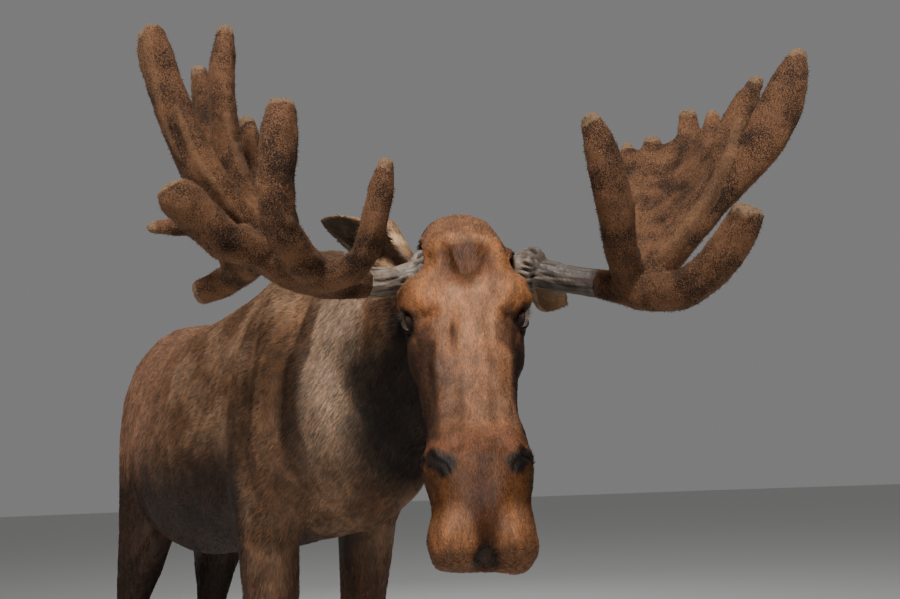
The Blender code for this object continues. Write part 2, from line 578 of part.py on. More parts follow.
def slab(name, centre, normal, size, lean=UP):
    """A cutter as thin as the gap, square to `normal`."""
    normal = normal.normalized()
    side_way = lean.cross(normal).normalized()
    return block(name, centre, (size[0], size[1], GAP), (side_way, normal.cross(side_way), normal))


def antler_path(side, spec):
    flat, points = spec
    turn = RACK_LEFT * (side * flat[0]) + RACK_AHEAD * flat[1] + UP * flat[2]
    return [(crown(side, *p), w, h) for p, w, h in points], turn.normalized()


antlers = {}
for tag, side in (("R", -1), ("L", 1)):
    solids = []
    for name, spec in ANTLERS[tag].items():
        points, turn = antler_path(side, spec)
        solids.append(tube_loft(name, points, 4, 16, turn, 2.2))
    web = [[crown(side, *p) for p in row] for row in PLATES[tag]]
    solids.append(plate_loft("web", web, PLATE_HALF))
    antlers[tag] = fuse("antler_" + tag, solids, ANTLER_VOXEL, 3)
    thin_out(antlers[tag], ANTLER_FACES)

# ---- ears: cupped leaves on their stalks ----
EARS = {    # base, tip, way the cup opens, each as out, ahead, up from the crown
    "R": ((0.128, -0.090, 0.040), (0.382, -0.140, 0.200), (0.62, 0.42, -0.42)),
    "L": ((0.118, -0.098, 0.030), (0.240, -0.285, -0.004), (0.60, 0.60, -0.50)),
}
EAR_HALF, EAR_WALL = 0.058, 0.0070


def ear(name, side, base, tip, opening, rows=8, cols=6):
    root, point = crown(side, *base), crown(side, *tip)
    axis = point - root
    length = axis.length
    axis.normalize()
    opens = LEFT * (side * opening[0]) + AHEAD * opening[1] + UP * opening[2]
    opens = (opens - axis * opens.dot(axis)).normalized()
    across = axis.cross(opens)
    rings = []
    for i in range(rows + 1):
        u = i / rows
        half = EAR_HALF * (0.42 + 0.58 * sin(pi * min(1.0, u * 1.25 + 0.02) / 2)) if u < 0.5 \
            else EAR_HALF * (1 - ((u - 0.5) / 0.5) ** 2.2 * 0.86)
        wrap = radians(128 - 62 * u)
        bend = root + axis * (length * u) - opens * (0.030 * sin(pi * u))
        outer, inner = [], []
        for k in range(cols + 1):
            a = wrap * (2 * k / cols - 1)
            for edge, radius in ((outer, half), (inner, half - EAR_WALL)):
                lift = half * (1 - 0.5 * u)
                edge.append(bend + across * (radius * sin(a) / max(sin(min(wrap, pi / 2)), 0.8))
                            + opens * (lift - (radius - half + lift) * cos(a)))
        rings.append((outer, inner))
    bm = bmesh.new()
    grid = [[[bm.verts.new(p) for p in edge] for edge in ring] for ring in rings]
    for low, high in zip(grid, grid[1:]):
        for e in (0, 1):
            for k in range(cols):
                bm.faces.new((low[e][k], low[e][k + 1], high[e][k + 1], high[e][k]))
        for k in (0, cols):
            bm.faces.new((low[0][k], high[0][k], high[1][k], low[1][k]))
    for outer, inner in (grid[0], grid[-1]):
        for k in range(cols):
            bm.faces.new((outer[k], outer[k + 1], inner[k + 1], inner[k]))
    return new_object(name, bm)


ears = {tag: ear("ear_" + tag, side, *EARS[tag]) for tag, side in (("R", -1), ("L", 1))}

# ---- eyes ----
EYE_T, EYE_S, EYE_N = 0.276, 0.106, -0.016
eyes = {tag: ball("eye_" + tag, face(EYE_T, side * EYE_S, EYE_N), (EYE_R,) * 3,
                  (OUT_FACE, DOWN_FACE, LEFT), 7, 10) for tag, side in (("R", -1), ("L", 1))}

# ---- hooves and dewclaws ----
TOE_LENGTH, TOE_WIDTH = 0.154, 0.064
CORONET_TILT = radians(24)


def coronet(x, y, lift):
    """The sloping plane where hair gives way to hoof."""
    up = Vector((0, sin(CORONET_TILT), cos(CORONET_TILT)))
    return Vector((x, y, CORONET_Z + lift)), up


def toe(name, x, y, side):
    """Half a cloven hoof: flat sole, pointed in front, upright heel."""
    rings = []
    for z, grow, shift in ((0.0, 1.0, 0.0), (0.045, 0.96, 0.010), (0.140, 0.70, 0.032)):
        ring = []
        for k in range(12):
            a = 2 * pi * k / 12
            along = cos(a) * TOE_LENGTH / 2
            wide = sin(a) * TOE_WIDTH / 2
            if wide * side > 0:
                wide *= 1.10 * (1 - 0.30 * max(0.0, cos(a)) ** 2)
            elif abs(sin(a)) > 0.01:       # the side towards the cleft is straight
                wide *= 0.84 * abs(sin(a)) ** -0.55
            wide -= side * 0.009 * max(0.0, cos(a)) ** 2
            ring.append(Vector((x + wide * grow, y - along * grow + shift, z)))
        rings.append(ring)
    solid = loft(name, rings)
    middle, up = coronet(x, y, -GAP)
    lid = block("lid", middle + up * 0.2, (0.4, 0.4, 0.4), (Vector((1, 0, 0)),
                Vector((0, up.z, -up.y)), up))
    carve(solid, [lid])
    return solid


hooves, claws = {}, {}
for leg, side, stations in LEGS:
    z, x, y = stations[-2][:3]
    y, x = y + STEPS[leg][0], x + STEPS[leg][1]
    middle, up = coronet(side * x, y - 0.012, 0.0)
    cutter = block("below", middle - up * 0.2, (0.3, 0.5, 0.4), (Vector((1, 0, 0)),
                   Vector((0, up.z, -up.y)), up))
    carve(moose, [cutter])
    for which, way in (("inner", -side), ("outer", side)):
        name = leg + "_hoof_" + which
        hooves[name] = toe(name, side * x + way * 0.0305, y - 0.012, way)
        tip = Vector((side * x + way * 0.034, y + 0.058, 0.118))
        claws[leg + "_dewclaw_" + which] = tube_loft("claw", [
            (tip + Vector((0, -0.036, 0.030)), 0.016, 0.014), (tip + Vector((0, -0.010, 0.008)),
             0.017, 0.014), (tip + Vector((0, 0.006, -0.012)), 0.010, 0.008)], 1, 6,
            Vector((0, 1, 0.6)))

# ---- seats for everything that is set into the flesh ----
for solid in [*antlers.values(), *eyes.values(), *claws.values()]:
    carve(moose, [grown(solid, GAP)])
for solid in ears.values():
    carve(moose, [grown(solid, 3 * GAP)])
for tag in ("R", "L"):
    carve(ears[tag], [grown(antlers[tag], GAP)])

# ---- part the flesh where a person would name its parts ----
BELOW, ACROSS = Vector((0, 0, 1)), Vector((1, 0, 0))
slabs = [
    slab("nape", crown(1, 0, -0.150, -0.12), AHEAD, (0.62, 0.90)),
    slab("neck", Vector((0, -0.815, 1.48)), Vector((0, 1, -0.28)), (0.80, 1.20)),
    slab("girth", Vector((0, -0.160, 1.45)), Vector((0, 1, 0)), (0.90, 1.20)),
    slab("flank", Vector((0, 0.350, 1.45)), Vector((0, 1, 0)), (0.90, 1.20)),
    slab("dock", Vector((0, 0.888, 1.642)), Vector((0, 0.564, -0.825)), (0.076, 0.12), ACROSS),
    slab("muzzle", face(0.500, 0, -0.04), DOWN_FACE, (0.30, 0.34), OUT_FACE),
    slab("mouth", face(0.630, 0, -0.052), OUT_FACE - DOWN_FACE * 0.22, (0.24, 0.27), DOWN_FACE),
    slab("bell", THROAT - UP * 0.105, BELOW, (0.15, 0.15), ACROSS),
]
CUTS = {"foreleg": (0.985, 0.555, 0.205), "hindleg": (0.950, 0.615, 0.205)}
for leg, side, stations in LEGS:
    for z in CUTS[leg[:7]]:
        place = Vector((side * 0.165, (-0.48 if stations is FORE else 0.62) + step_at(
            z, STEPS[leg][0]), z))
        slabs.append(slab("limb", place, BELOW, (0.50, 0.30), ACROSS))
carve(moose, slabs)

NODES = {   # name: a place inside it
    "head": face(0.22, 0, -0.10), "muzzle": face(0.62, 0, 0.04), "lower_jaw": face(0.60, 0, -0.09),
    "bell": THROAT - UP * 0.16, "neck": Vector((0, -0.98, 1.53)),
    "shoulders": Vector((0, -0.48, 1.48)), "barrel": Vector((0, 0.10, 1.42)),
    "hindquarters": Vector((0, 0.58, 1.40)), "tail": Vector((0, 0.905, 1.57)),
}
for leg, side, stations in LEGS:
    fore = stations is FORE
    for part, z in (("upper", 0.78), ("cannon", 0.38), ("pastern", 0.14)):
        y = (-0.48 if fore else 0.65) + step_at(z, STEPS[leg][0])
        NODES[leg + "_" + part] = Vector((side * 0.155, y, z))
COAT, COAT_DARK = (0.13, 0.075, 0.045), (0.055, 0.032, 0.022)
HORN, VELVET = (0.07, 0.055, 0.045), (0.20, 0.11, 0.055)
for piece in split(moose):
    middle = centre_of(piece)
    name = min(NODES, key=lambda n: (NODES[n] - middle).length)
    NODES.pop(name)
    paint(piece, name, COAT_DARK if "leg" in name else COAT, 0.75)

# ---- part the antlers at their forks ----
for tag, side in (("R", -1), ("L", 1)):
    seeds = {}
    for name, share in FORKS[tag]:
        points, turn = antler_path(side, ANTLERS[tag][name])
        rows = spline([(*p, w, h) for p, w, h in points], 8)
        at = int(share * (len(rows) - 1))
        here, next_ = rows[at], rows[at + 1]
        way = (Vector(next_[:3]) - Vector(here[:3])).normalized()
        normal = (turn - way * turn.dot(way)).normalized()
        size = (2 * here[3] + 0.024, 2 * here[4] + 0.024, GAP)
        cutter = block("fork", Vector(here[:3]), size, (normal.cross(way), normal, way))
        carve(antlers[tag], [cutter])
        seeds[name] = Vector(rows[(at + len(rows)) // 2][:3])
    seeds["beam"] = crown(side, 0.18, 0.03, -0.03)
    seeds["palm"] = crown(side, 0.44, 0.12, 0.06)
    pieces = split(antlers[tag])
    pairs = sorted((((seeds[n] - centre_of(p)).length, n, i)
                    for n in seeds for i, p in enumerate(pieces)))
    named = {}
    for _, name, i in pairs:
        if name not in named.values() and i not in named:
            named[i] = name
            paint(pieces[i], "antler_" + tag + "_" + name, VELVET, 0.85)

for tag, solid in ears.items():
    paint(solid, "ear_" + tag, COAT, 0.8)
for tag, solid in eyes.items():
    paint(solid, "eye_" + tag, (0.02, 0.012, 0.008), 0.1)
for name, solid in {**hooves, **claws}.items():
    paint(solid, name, HORN, 0.5)

# ---- stand the moose over the middle of its own box ----
everything = [obj for obj in bpy.data.objects if obj.type == "MESH"]
for axis in (0, 1):
    reach = [v.co[axis] for obj in everything for v in obj.data.vertices]
    middle = (min(reach) + max(reach)) / 2
    for obj in everything:
        for vert in obj.data.vertices:
            vert.co[axis] -= middle
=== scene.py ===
"""Bull moose in summer coat, standing with its head hanging and turned to its right."""
import bpy
import numpy as np
from math import cos, pi, radians, sin
from mathutils import Matrix, Vector


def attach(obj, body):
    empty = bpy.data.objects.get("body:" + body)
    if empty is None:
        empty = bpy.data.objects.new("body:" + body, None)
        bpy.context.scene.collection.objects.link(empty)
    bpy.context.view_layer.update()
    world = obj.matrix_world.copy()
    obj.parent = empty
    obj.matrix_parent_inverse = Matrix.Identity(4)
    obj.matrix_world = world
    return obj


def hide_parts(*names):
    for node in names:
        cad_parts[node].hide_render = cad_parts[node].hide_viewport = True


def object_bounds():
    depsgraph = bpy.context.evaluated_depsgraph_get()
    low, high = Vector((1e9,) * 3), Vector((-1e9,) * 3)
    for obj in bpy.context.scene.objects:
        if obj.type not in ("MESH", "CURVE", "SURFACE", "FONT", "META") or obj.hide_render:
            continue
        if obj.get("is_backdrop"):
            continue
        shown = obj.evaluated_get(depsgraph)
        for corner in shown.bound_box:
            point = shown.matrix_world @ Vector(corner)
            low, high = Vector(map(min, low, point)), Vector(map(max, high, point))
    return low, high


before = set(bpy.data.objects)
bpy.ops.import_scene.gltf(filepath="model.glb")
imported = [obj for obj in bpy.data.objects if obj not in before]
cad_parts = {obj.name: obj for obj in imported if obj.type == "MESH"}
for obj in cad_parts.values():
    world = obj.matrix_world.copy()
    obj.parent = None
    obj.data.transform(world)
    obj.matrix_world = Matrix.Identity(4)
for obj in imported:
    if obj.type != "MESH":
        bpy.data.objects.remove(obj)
cad_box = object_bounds()

# ---- where it is seen from ----
# The bull is met at chest height, a metre and a half from its nose, by someone who looks up at
# the antlers.  A wide lens takes in the whole rack, the face and the flank behind it.
bpy.ops.object.select_all(action="DESELECT")
bpy.ops.object.camera_add(location=(-0.8223, -1.7066, 1.150))
camera = bpy.context.object
camera.rotation_euler = (Matrix.Rotation(radians(-43.1), 3, "Z") @ Matrix.Rotation(radians(107.0), 3, "X")
                         @ Matrix.Rotation(radians(-2.1), 3, "Z")).to_euler()
camera.data.sensor_width, camera.data.lens = 36.0, 25.68
camera.data.clip_start, camera.data.clip_end = 0.05, 200.0
bpy.context.scene.camera = camera

# ---- studio ----
# A pale painted floor with a soft pale surround: one large soft key, high over the viewer's
# shoulder, a weak fill from the left and a rim light behind.
bpy.ops.mesh.primitive_plane_add(size=400.0, location=(0.0, 0.0, 0.0))
floor = bpy.context.object
floor.name = "floor"
floor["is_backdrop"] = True
paper = bpy.data.materials.new("pale_floor")
paper.use_nodes = True
paint = paper.node_tree.nodes["Principled BSDF"].inputs
paint["Base Color"].default_value, paint["Roughness"].default_value = (0.66, 0.66, 0.65, 1), 0.9
floor.data.materials.append(paper)
room = bpy.data.worlds.new("room")
room.use_nodes = True
glow = room.node_tree.nodes["Background"].inputs
glow["Color"].default_value, glow["Strength"].default_value = (0.92, 0.92, 0.92, 1), 0.22
bpy.context.scene.world = room
CHEST = Vector((0.1, -0.3, 1.2))
for label, place, size, watts in (("key", (-3.4, -3.9, 6.0), 1.0, 830.0), ("fill", (-5.0, 0.5, 2.6), 3.0, 25.0),
                                  ("rim", (3.4, 4.2, 4.6), 2.0, 80.0)):
    bpy.ops.object.light_add(type="AREA", location=place)
    lamp = bpy.context.object
    lamp.name, lamp.data.size, lamp.data.energy = label, size, watts
    lamp.rotation_euler = (CHEST - Vector(place)).to_track_quat("-Z", "Y").to_euler()

# ---- hide: one skin from the lips to the hooves ----
# The hide of a living bull has no seams: it runs on over head, trunk, legs, tail and ears.  It is
# cast in one piece round the body's solids, eased where they were parted, then worked with the listed creases and
# swellings.
LEGS = [f"{end}leg_{side}_{part}" for end in ("fore", "hind") for side in "RL"
        for part in ("upper", "cannon", "pastern")]
FLESH = ["barrel", "bell", "head", "hindquarters", "lower_jaw", "muzzle", "neck", "shoulders", "tail", *LEGS]
MIDDLE_X = 0.2347
POLL = np.array((0.1047, -0.7556, 1.749))
HEAD_TURN, HEAD_TILT, RACK_TURN = radians(42.0), radians(19.4), radians(43.3)
LEFT = np.array((cos(HEAD_TURN), -sin(HEAD_TURN), 0.0))
AHEAD = np.array((-sin(HEAD_TURN), -cos(HEAD_TURN), 0.0))
DOWN_FACE = AHEAD * sin(HEAD_TILT) - np.array((0, 0, cos(HEAD_TILT)))
OUT_FACE = AHEAD * cos(HEAD_TILT) + np.array((0, 0, sin(HEAD_TILT)))
HEAD_AXES = np.array((DOWN_FACE, LEFT, OUT_FACE))
CROWN = np.array((0.1477, -0.7626, 1.630))
RACK_LEFT = np.array((cos(RACK_TURN), -sin(RACK_TURN), 0.0))
RACK_AHEAD = np.array((-sin(RACK_TURN), -cos(RACK_TURN), 0.0))


def face(t, s, n):
    """A point of the head: t down the face from the poll, s to its left, n out of the forehead."""
    return POLL + DOWN_FACE * t + LEFT * s + OUT_FACE * n


def crown(side, out, ahead, up):
    """A point beside the head: out to that side, ahead and up from between the antlers."""
    return CROWN + RACK_LEFT * (side * out) + RACK_AHEAD * ahead + np.array((0, 0, up))


def only(*chosen):
    """Selects these objects and nothing else, the first one active."""
    bpy.ops.object.select_all(action="DESELECT")
    for obj in chosen:
        obj.select_set(True)
    bpy.context.view_layer.objects.active = chosen[0]


def edit_all(obj):
    """Opens an object in edit mode with all of it selected."""
    only(obj)
    bpy.ops.object.mode_set(mode="EDIT")
    bpy.ops.mesh.select_all(action="SELECT")


def finish(obj, kind, **settings):
    """Adds a modifier and applies it."""
    step = obj.modifiers.new("step", kind)
    for key, value in settings.items():
        setattr(step, key, value)
    only(obj)
    bpy.ops.object.modifier_apply(modifier=step.name)


def twin(label, *names):
    """A merged copy of one or more of the body's solids, to be worked on."""
    copies = []
    for name in names:
        copies.append(bpy.data.objects.new(label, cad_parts[name].data.copy()))
        bpy.context.scene.collection.objects.link(copies[-1])
    only(*copies)
    if len(copies) > 1:
        bpy.ops.object.join()
    whole = bpy.context.view_layer.objects.active
    edit_all(whole)
    bpy.ops.mesh.remove_doubles(threshold=0.00002)
    bpy.ops.object.mode_set(mode="OBJECT")
    whole.data.materials.clear()
    return whole


def read(rows, key, width, kind=np.float32):
    """One named value of every row of a mesh, as an array of that width."""
    out = np.empty(len(rows) * width, kind)
    rows.foreach_get(key, out)
    return out.reshape(-1, width)


def places(mesh):
    """Where the points of a mesh are."""
    return read(mesh.vertices, "co", 3, float)


def directions(mesh):
    """Which way the surface faces at each point of a mesh."""
    return read(mesh.vertex_normals, "vector", 3).astype(float)


def put(mesh, where):
    """Moves the points of a mesh."""
    mesh.vertices.foreach_set("co", where.astype(np.float32).ravel())
    mesh.update()


def far_from(points, centre):
    """How far points lie from one place."""
    return np.sqrt(((points - centre) ** 2).sum(1))


def ramp(value, low, high):
    """0 below low, 1 above high and a soft slope between; low may be the higher number."""
    x = np.clip((value - low) / (high - low), 0.0, 1.0)
    return x * x * (3 - 2 * x)


def relax(mesh, weight, rounds, back=-0.53):
    """Eases a surface without thinning it; back=0 lets it shrink a little, which irons it flatter."""
    pairs = read(mesh.edges, "vertices", 2, np.int32)
    a, b = pairs.T
    where, count = places(mesh), np.bincount(pairs.ravel(), minlength=len(mesh.vertices))
    for k in range(rounds * 2):
        force = 0.5 if k % 2 == 0 else back
        if force == 0:
            continue
        total = np.stack([np.bincount(a, where[b, i], len(where)) + np.bincount(b, where[a, i], len(where))
                          for i in range(3)], 1)
        where = where + (total / count[:, None] - where) * (weight * force)[:, None]
    put(mesh, where)


def edit_near(obj, centres, radius):
    """In edit mode, selects the faces whose middles lie within radius of any centre."""
    only(obj)
    bpy.ops.object.mode_set(mode="EDIT")
    bpy.ops.mesh.select_mode(type="FACE")
    bpy.ops.mesh.select_all(action="DESELECT")
    bpy.ops.object.mode_set(mode="OBJECT")
    mid = read(obj.data.polygons, "center", 3, float)
    near = np.zeros(len(mid), bool)
    for centre in centres:
        near |= ((mid - centre) ** 2).sum(1) < radius ** 2
    obj.data.polygons.foreach_set("select", near)
    bpy.ops.object.mode_set(mode="EDIT")


hide = twin("hide", *FLESH)
for side in "RL":
    ear = twin("ear", "ear_" + side)
    edit_all(ear)
    bpy.ops.mesh.tris_convert_to_quads()
    bpy.ops.object.mode_set(mode="OBJECT")
    finish(ear, "SUBSURF", levels=2, render_levels=2)
    socket = twin("socket", "eye_" + side)
    plug = twin("plug", f"antler_{side}_beam")
    sign = -1 if side == "R" else 1
    edit_all(plug)
    bpy.ops.mesh.bisect(plane_co=crown(sign, 0.122, 0, 0), plane_no=RACK_LEFT * sign, use_fill=True, clear_outer=True)
    bpy.ops.object.mode_set(mode="OBJECT")
    only(hide, ear, socket, plug, twin("claws", *(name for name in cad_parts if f"leg_{side}_dewclaw" in name)))
    bpy.ops.object.join()
finish(hide, "DISPLACE", strength=0.0013, mid_level=0.0)
finish(hide, "REMESH", mode="VOXEL", voxel_size=0.0056)
where = places(hide.data)
HEAD_MID = face(0.35, 0, -0.06)
trunk = ramp(far_from(where, HEAD_MID), 0.44, 0.60) * ramp(where[:, 2], 0.98, 1.14) * ramp(where[:, 1], 1.33, 1.26)
ears = [(crown(-1, 0.128, -0.090, 0.040), crown(-1, 0.382, -0.140, 0.200)),
        (crown(1, 0.118, -0.098, 0.030), crown(1, 0.240, -0.285, -0.004))]


def off_line(points, a, b):
    """How far points lie from the line a to b, and how far along it their nearest place is."""
    way = b - a
    along = np.clip((points - a) @ way / (way @ way), 0, 1)
    return np.sqrt(((points - a - along[:, None] * way) ** 2).sum(1)), along


def off_bell_of(points):
    """How far points lie from the middle of the bell under the throat."""
    return off_line(points, THROAT - (0, 0, 0.05), THROAT - (0, 0, 0.22))[0]


at_ear = np.max([ramp(off_line(where, a + (b - a) * 0.2, b)[0], 0.085, 0.060) for a, b in ears], 0)
trunk *= 1 - at_ear
relax(hide.data, np.full(len(where), 1.0), 6)
relax(hide.data, trunk, 70, back=-0.42)
relax(hide.data, (1 - trunk) * (1 - at_ear) * 0.9, 16)
# the hide lies under the tips of its hair: deep on mane and throat, thin on face and feet
EYES = {-1: face(0.276, -0.106, -0.016), 1: face(0.276, 0.106, -0.016)}
EYE_R = 0.021
THROAT = face(0.325, 0, -0.238)
where, out = places(hide.data), directions(hide.data)
off_bell = off_line(where, THROAT, THROAT - np.array((0, 0, 0.21)))[0]
depth = 0.004 + 0.004 * trunk + 0.003 * ramp(off_bell, 0.11, 0.06)
depth = depth * (1 - 0.75 * at_ear) * (0.55 + 0.45 * ramp(where[:, 2], 0.15, 0.9))
put(hide.data, where - out * depth[:, None])

# the temples fall in round the foot of each antler, and the crest stands up behind the right ear
for sign in (-1, 1):
    far, ahead = (where - CROWN) @ RACK_LEFT * sign, (where - CROWN) @ RACK_AHEAD
    off = np.hypot(ahead, where[:, 2] - CROWN[2])
    limit = 0.078 + 0.075 * ramp(off, 0.040, 0.085) + 0.08 * ramp(ahead, -0.010, -0.050)
    over = np.where((far > 0) & (off < 0.085), np.clip(far - limit, 0, 0.05), 0)
    where = where - RACK_LEFT * (sign * over)[:, None]
where[:, 2] += 0.048 * np.exp(-(((where - (0.055, -0.575, 1.745)) / (0.055, 0.065, 0.045)) ** 2).sum(1))
put(hide.data, where)
relax(hide.data, sum(ramp(far_from(where, crown(sign, 0.10, 0, 0)), 0.11, 0.08) for sign in (-1, 1)), 8)
where, out = places(hide.data), directions(hide.data)

# finer mesh where the lids, nostrils and lips are worked
NOSTRIL = {}
for side in (-1, 1):
    comma = [face(t, 0.006 + side * s, n) for t, s, n in (
        (0.638, 0.046, 0.098), (0.620, 0.057, 0.095), (0.603, 0.072, 0.084),
        (0.604, 0.084, 0.058), (0.626, 0.087, 0.032))]
    NOSTRIL[side] = np.array([where[np.argmin(((where - spot) ** 2).sum(1))] for spot in comma])
for centres, reach, cuts in (([face(0.69, 0, 0.02)], 0.125, 1), (list(EYES.values()), 0.062, 1),
                             (list(EYES.values()), 0.038, 1), (np.vstack(list(NOSTRIL.values())), 0.022, 1)):
    edit_near(hide, centres, reach)
    bpy.ops.mesh.subdivide(number_cuts=cuts, smoothness=0.0)
    bpy.ops.object.mode_set(mode="OBJECT")
where, out = places(hide.data), directions(hide.data)


def dab(centre, reach, push, axes=HEAD_AXES, way=None):
    """Raises the hide round a place, or sinks it with a minus, over reach along each axis."""
    close = np.flatnonzero((np.abs(where - centre) < 2.7 * max(reach)).all(1))
    q = (((where[close] - centre) @ axes.T / reach) ** 2).sum(1)
    close, q = close[q < 7], q[q < 7]
    where[close] += (out[close] if way is None else way) * (np.exp(-q) * push)[:, None]


TAIL = 2.6  # how many widths the soft sides of a crease reach


def crease(points, width, push, way=None, flat=0.0):
    """Raises or sinks the hide along a line of places, with a width and a push at each."""
    points = np.array(points, float)
    width, push = np.broadcast_to(width, len(points)), np.broadcast_to(push, len(points))
    reach = width.max() * TAIL
    close = np.flatnonzero(((where > points.min(0) - reach) & (where < points.max(0) + reach)).all(1))
    spot = where[close]
    best, wide, deep = np.full(len(spot), 9.0), np.zeros(len(spot)), np.zeros(len(spot))
    for i in range(len(points) - 1):
        off, along = off_line(spot, points[i], points[i + 1])
        near = off < best
        best[near], along = off[near], along[near]
        wide[near] = width[i] * (1 - along) + width[i + 1] * along
        deep[near] = push[i] * (1 - along) + push[i + 1] * along
    near = best < wide * TAIL
    q = np.clip(best[near] / wide[near] - flat, 0, None)
    close = close[near]
    where[close] += (out[close] if way is None else way) * (np.exp(-q * q) * deep[near])[:, None]


def fold(points, width, push):
    """A crease on the right side of the body, and the same one on the left."""
    crease(points, width, push)
    crease([(2 * MIDDLE_X - x, y, z) for x, y, z in points], width, push)


def cheek(side, spots, width, push):
    """A crease along places of one side of the head: down the face, out to that side, and forward."""
    crease([face(t, side * s, n) for t, s, n in spots], width, push)


# head: two mounds with a knob and a hollow between them, brows, the creases below them, cheeks
local = (where - POLL) @ HEAD_AXES.T


def on_face(t, s):
    """Where the front of the face is met at t down and s across."""
    near = np.flatnonzero(np.hypot(local[:, 0] - t, local[:, 1] - s) < 0.006)
    return where[near[np.argmax(local[near, 2])]]


for t, s, reach_t, reach_s, push in (
        (0.115, 0.016, 0.020, 0.018, 0.006), (0.172, 0.006, 0.040, 0.022, -0.014),
        (0.140, -0.050, 0.050, 0.022, 0.016), (0.132, 0.078, 0.050, 0.024, 0.015),
        (0.240, -0.080, 0.044, 0.026, 0.009), (0.240, 0.096, 0.042, 0.026, 0.010),
        (0.205, -0.040, 0.016, 0.024, -0.004), (0.327, -0.042, 0.009, 0.016, 0.004),
        (0.356, -0.058, 0.010, 0.014, 0.004), (0.240, -0.019, 0.018, 0.014, 0.003),
        (0.229, 0.035, 0.016, 0.012, 0.003), (0.585, -0.031, 0.014, 0.014, -0.003),
        (0.585, 0.043, 0.014, 0.014, -0.003)):
    dab(on_face(t, s), (reach_t, reach_s, 0.040), push)
for line, width, push in (
        (((0.095, -0.026), (0.135, -0.019), (0.185, -0.010)), 0.009, (-0.003, -0.009, -0.005)),
        (((0.095, 0.060), (0.125, 0.050), (0.180, 0.030)), 0.009, (-0.003, -0.009, -0.005)),
        (((0.210, 0.046), (0.232, 0.060), (0.250, 0.076)), 0.008, (-0.002, -0.005, -0.002)),
        (((0.284, -0.048), (0.294, -0.076), (0.292, -0.098)), 0.010, (0.0, -0.011, -0.006)),
        (((0.286, 0.066), (0.296, 0.090), (0.297, 0.112)), 0.011, (0.0, -0.012, -0.007)),
        (((0.280, -0.018), (0.329, -0.024), (0.372, -0.029)), 0.008, (-0.003, -0.009, -0.004)),
        (((0.290, 0.040), (0.335, 0.044), (0.380, 0.046)), 0.007, (0.0, -0.003, 0.0)),
        (((0.372, -0.060), (0.400, -0.063), (0.432, -0.066)), 0.014, (0.003, 0.010, 0.003)),
        (((0.403, -0.004), (0.411, 0.014), (0.412, 0.034)), 0.004, (-0.001, -0.003, -0.001)),
        (((0.425, -0.010), (0.431, 0.010), (0.429, 0.030)), 0.004, (0.0, -0.002, -0.001)),
        (((0.362, 0.078), (0.388, 0.083), (0.420, 0.088)), 0.014, (0.002, 0.009, 0.002)),
        (((0.450, -0.056), (0.500, -0.058), (0.545, -0.056)), 0.009, (0.0, 0.0045, 0.0)),
        (((0.450, 0.066), (0.500, 0.068), (0.545, 0.066)), 0.009, (0.0, 0.0035, 0.0))):
    crease([on_face(*spot) for spot in line], width, push)
for side in (-1, 1):
    dab(face(0.243, side * 0.122, -0.018), (0.014, 0.020, 0.034), 0.005)
    dab(face(0.330, side * 0.108, -0.040), (0.034, 0.020, 0.030), 0.004)
dab(face(0.148, -0.100, 0.010), (0.038, 0.032, 0.060), 0.024, way=LEFT)
dab(face(0.120, 0.112, 0.000), (0.036, 0.026, 0.060), -0.012, way=LEFT)
for side in (-1, 1):
    # the fold under the eye, the hollow cheek, the edge of the nose, the cheek's keel and the jaw
    cheek(side, ((0.300, 0.112, 0.004), (0.335, 0.100, 0.006), (0.375, 0.088, 0.004)),
          (0.006, 0.008, 0.004), (-0.004, -0.004, 0.0))
    dab(face(0.455, side * 0.074, 0.012), (0.060, 0.020, 0.040), -0.007)
    dab(face(0.490, side * 0.030, 0.060), (0.090, 0.010, 0.030), -0.0025)
    cheek(side, ((0.36, 0.098, -0.05), (0.46, 0.083, -0.055), (0.55, 0.078, -0.03)),
          (0.012, 0.010, 0.010), (0.0, 0.0045, 0.0))
    cheek(side, ((0.20, 0.112, -0.13), (0.27, 0.106, -0.190), (0.36, 0.080, -0.215)),
          (0.014, 0.014, 0.012), (0.0, -0.006, 0.0))
    dab(face(0.300, side * 0.102, -0.120), (0.070, 0.030, 0.050), 0.005)
    # nostril: a comma, thin in front and deep behind, under a rolled rim
    crease(NOSTRIL[side], (0.008, 0.013, 0.020, 0.022, 0.018), (0.0015, 0.003, 0.005, 0.0055, 0.003))
    inward = -LEFT * side * 0.80 - OUT_FACE * 0.30 - DOWN_FACE * 0.50
    out = directions(hide.data)
    crease(NOSTRIL[side], (0.0022, 0.0032, 0.0050, 0.0058, 0.0048), (0.002, 0.006, 0.015, 0.018, 0.010), inward, 0.25)
    dab(face(0.665, side * 0.070, 0.060), (0.020, 0.020, 0.030), -0.003)
    # lips: the long upper lip hangs over the lower one
    cheek(side, ((0.755, 0.026, -0.006), (0.742, 0.060, -0.018), (0.705, 0.070, -0.036), (0.655, 0.066, -0.056),
                 (0.605, 0.072, -0.070), (0.585, 0.076, -0.074)),
          (*[0.0045] * 5, 0.006), (-0.006, -0.008, -0.009, -0.008, -0.006, 0.0))
    cheek(side, ((0.735, 0.066, 0.000), (0.695, 0.074, -0.016), (0.640, 0.074, -0.040)), 0.012, (0.002, 0.0035, 0.0))
    dab(face(0.735, 0.006 + side * 0.044, 0.078), (0.030, 0.026, 0.030), 0.006)
    dab(face(0.748, side * 0.058, 0.030), (0.022, 0.026, 0.030), 0.004)
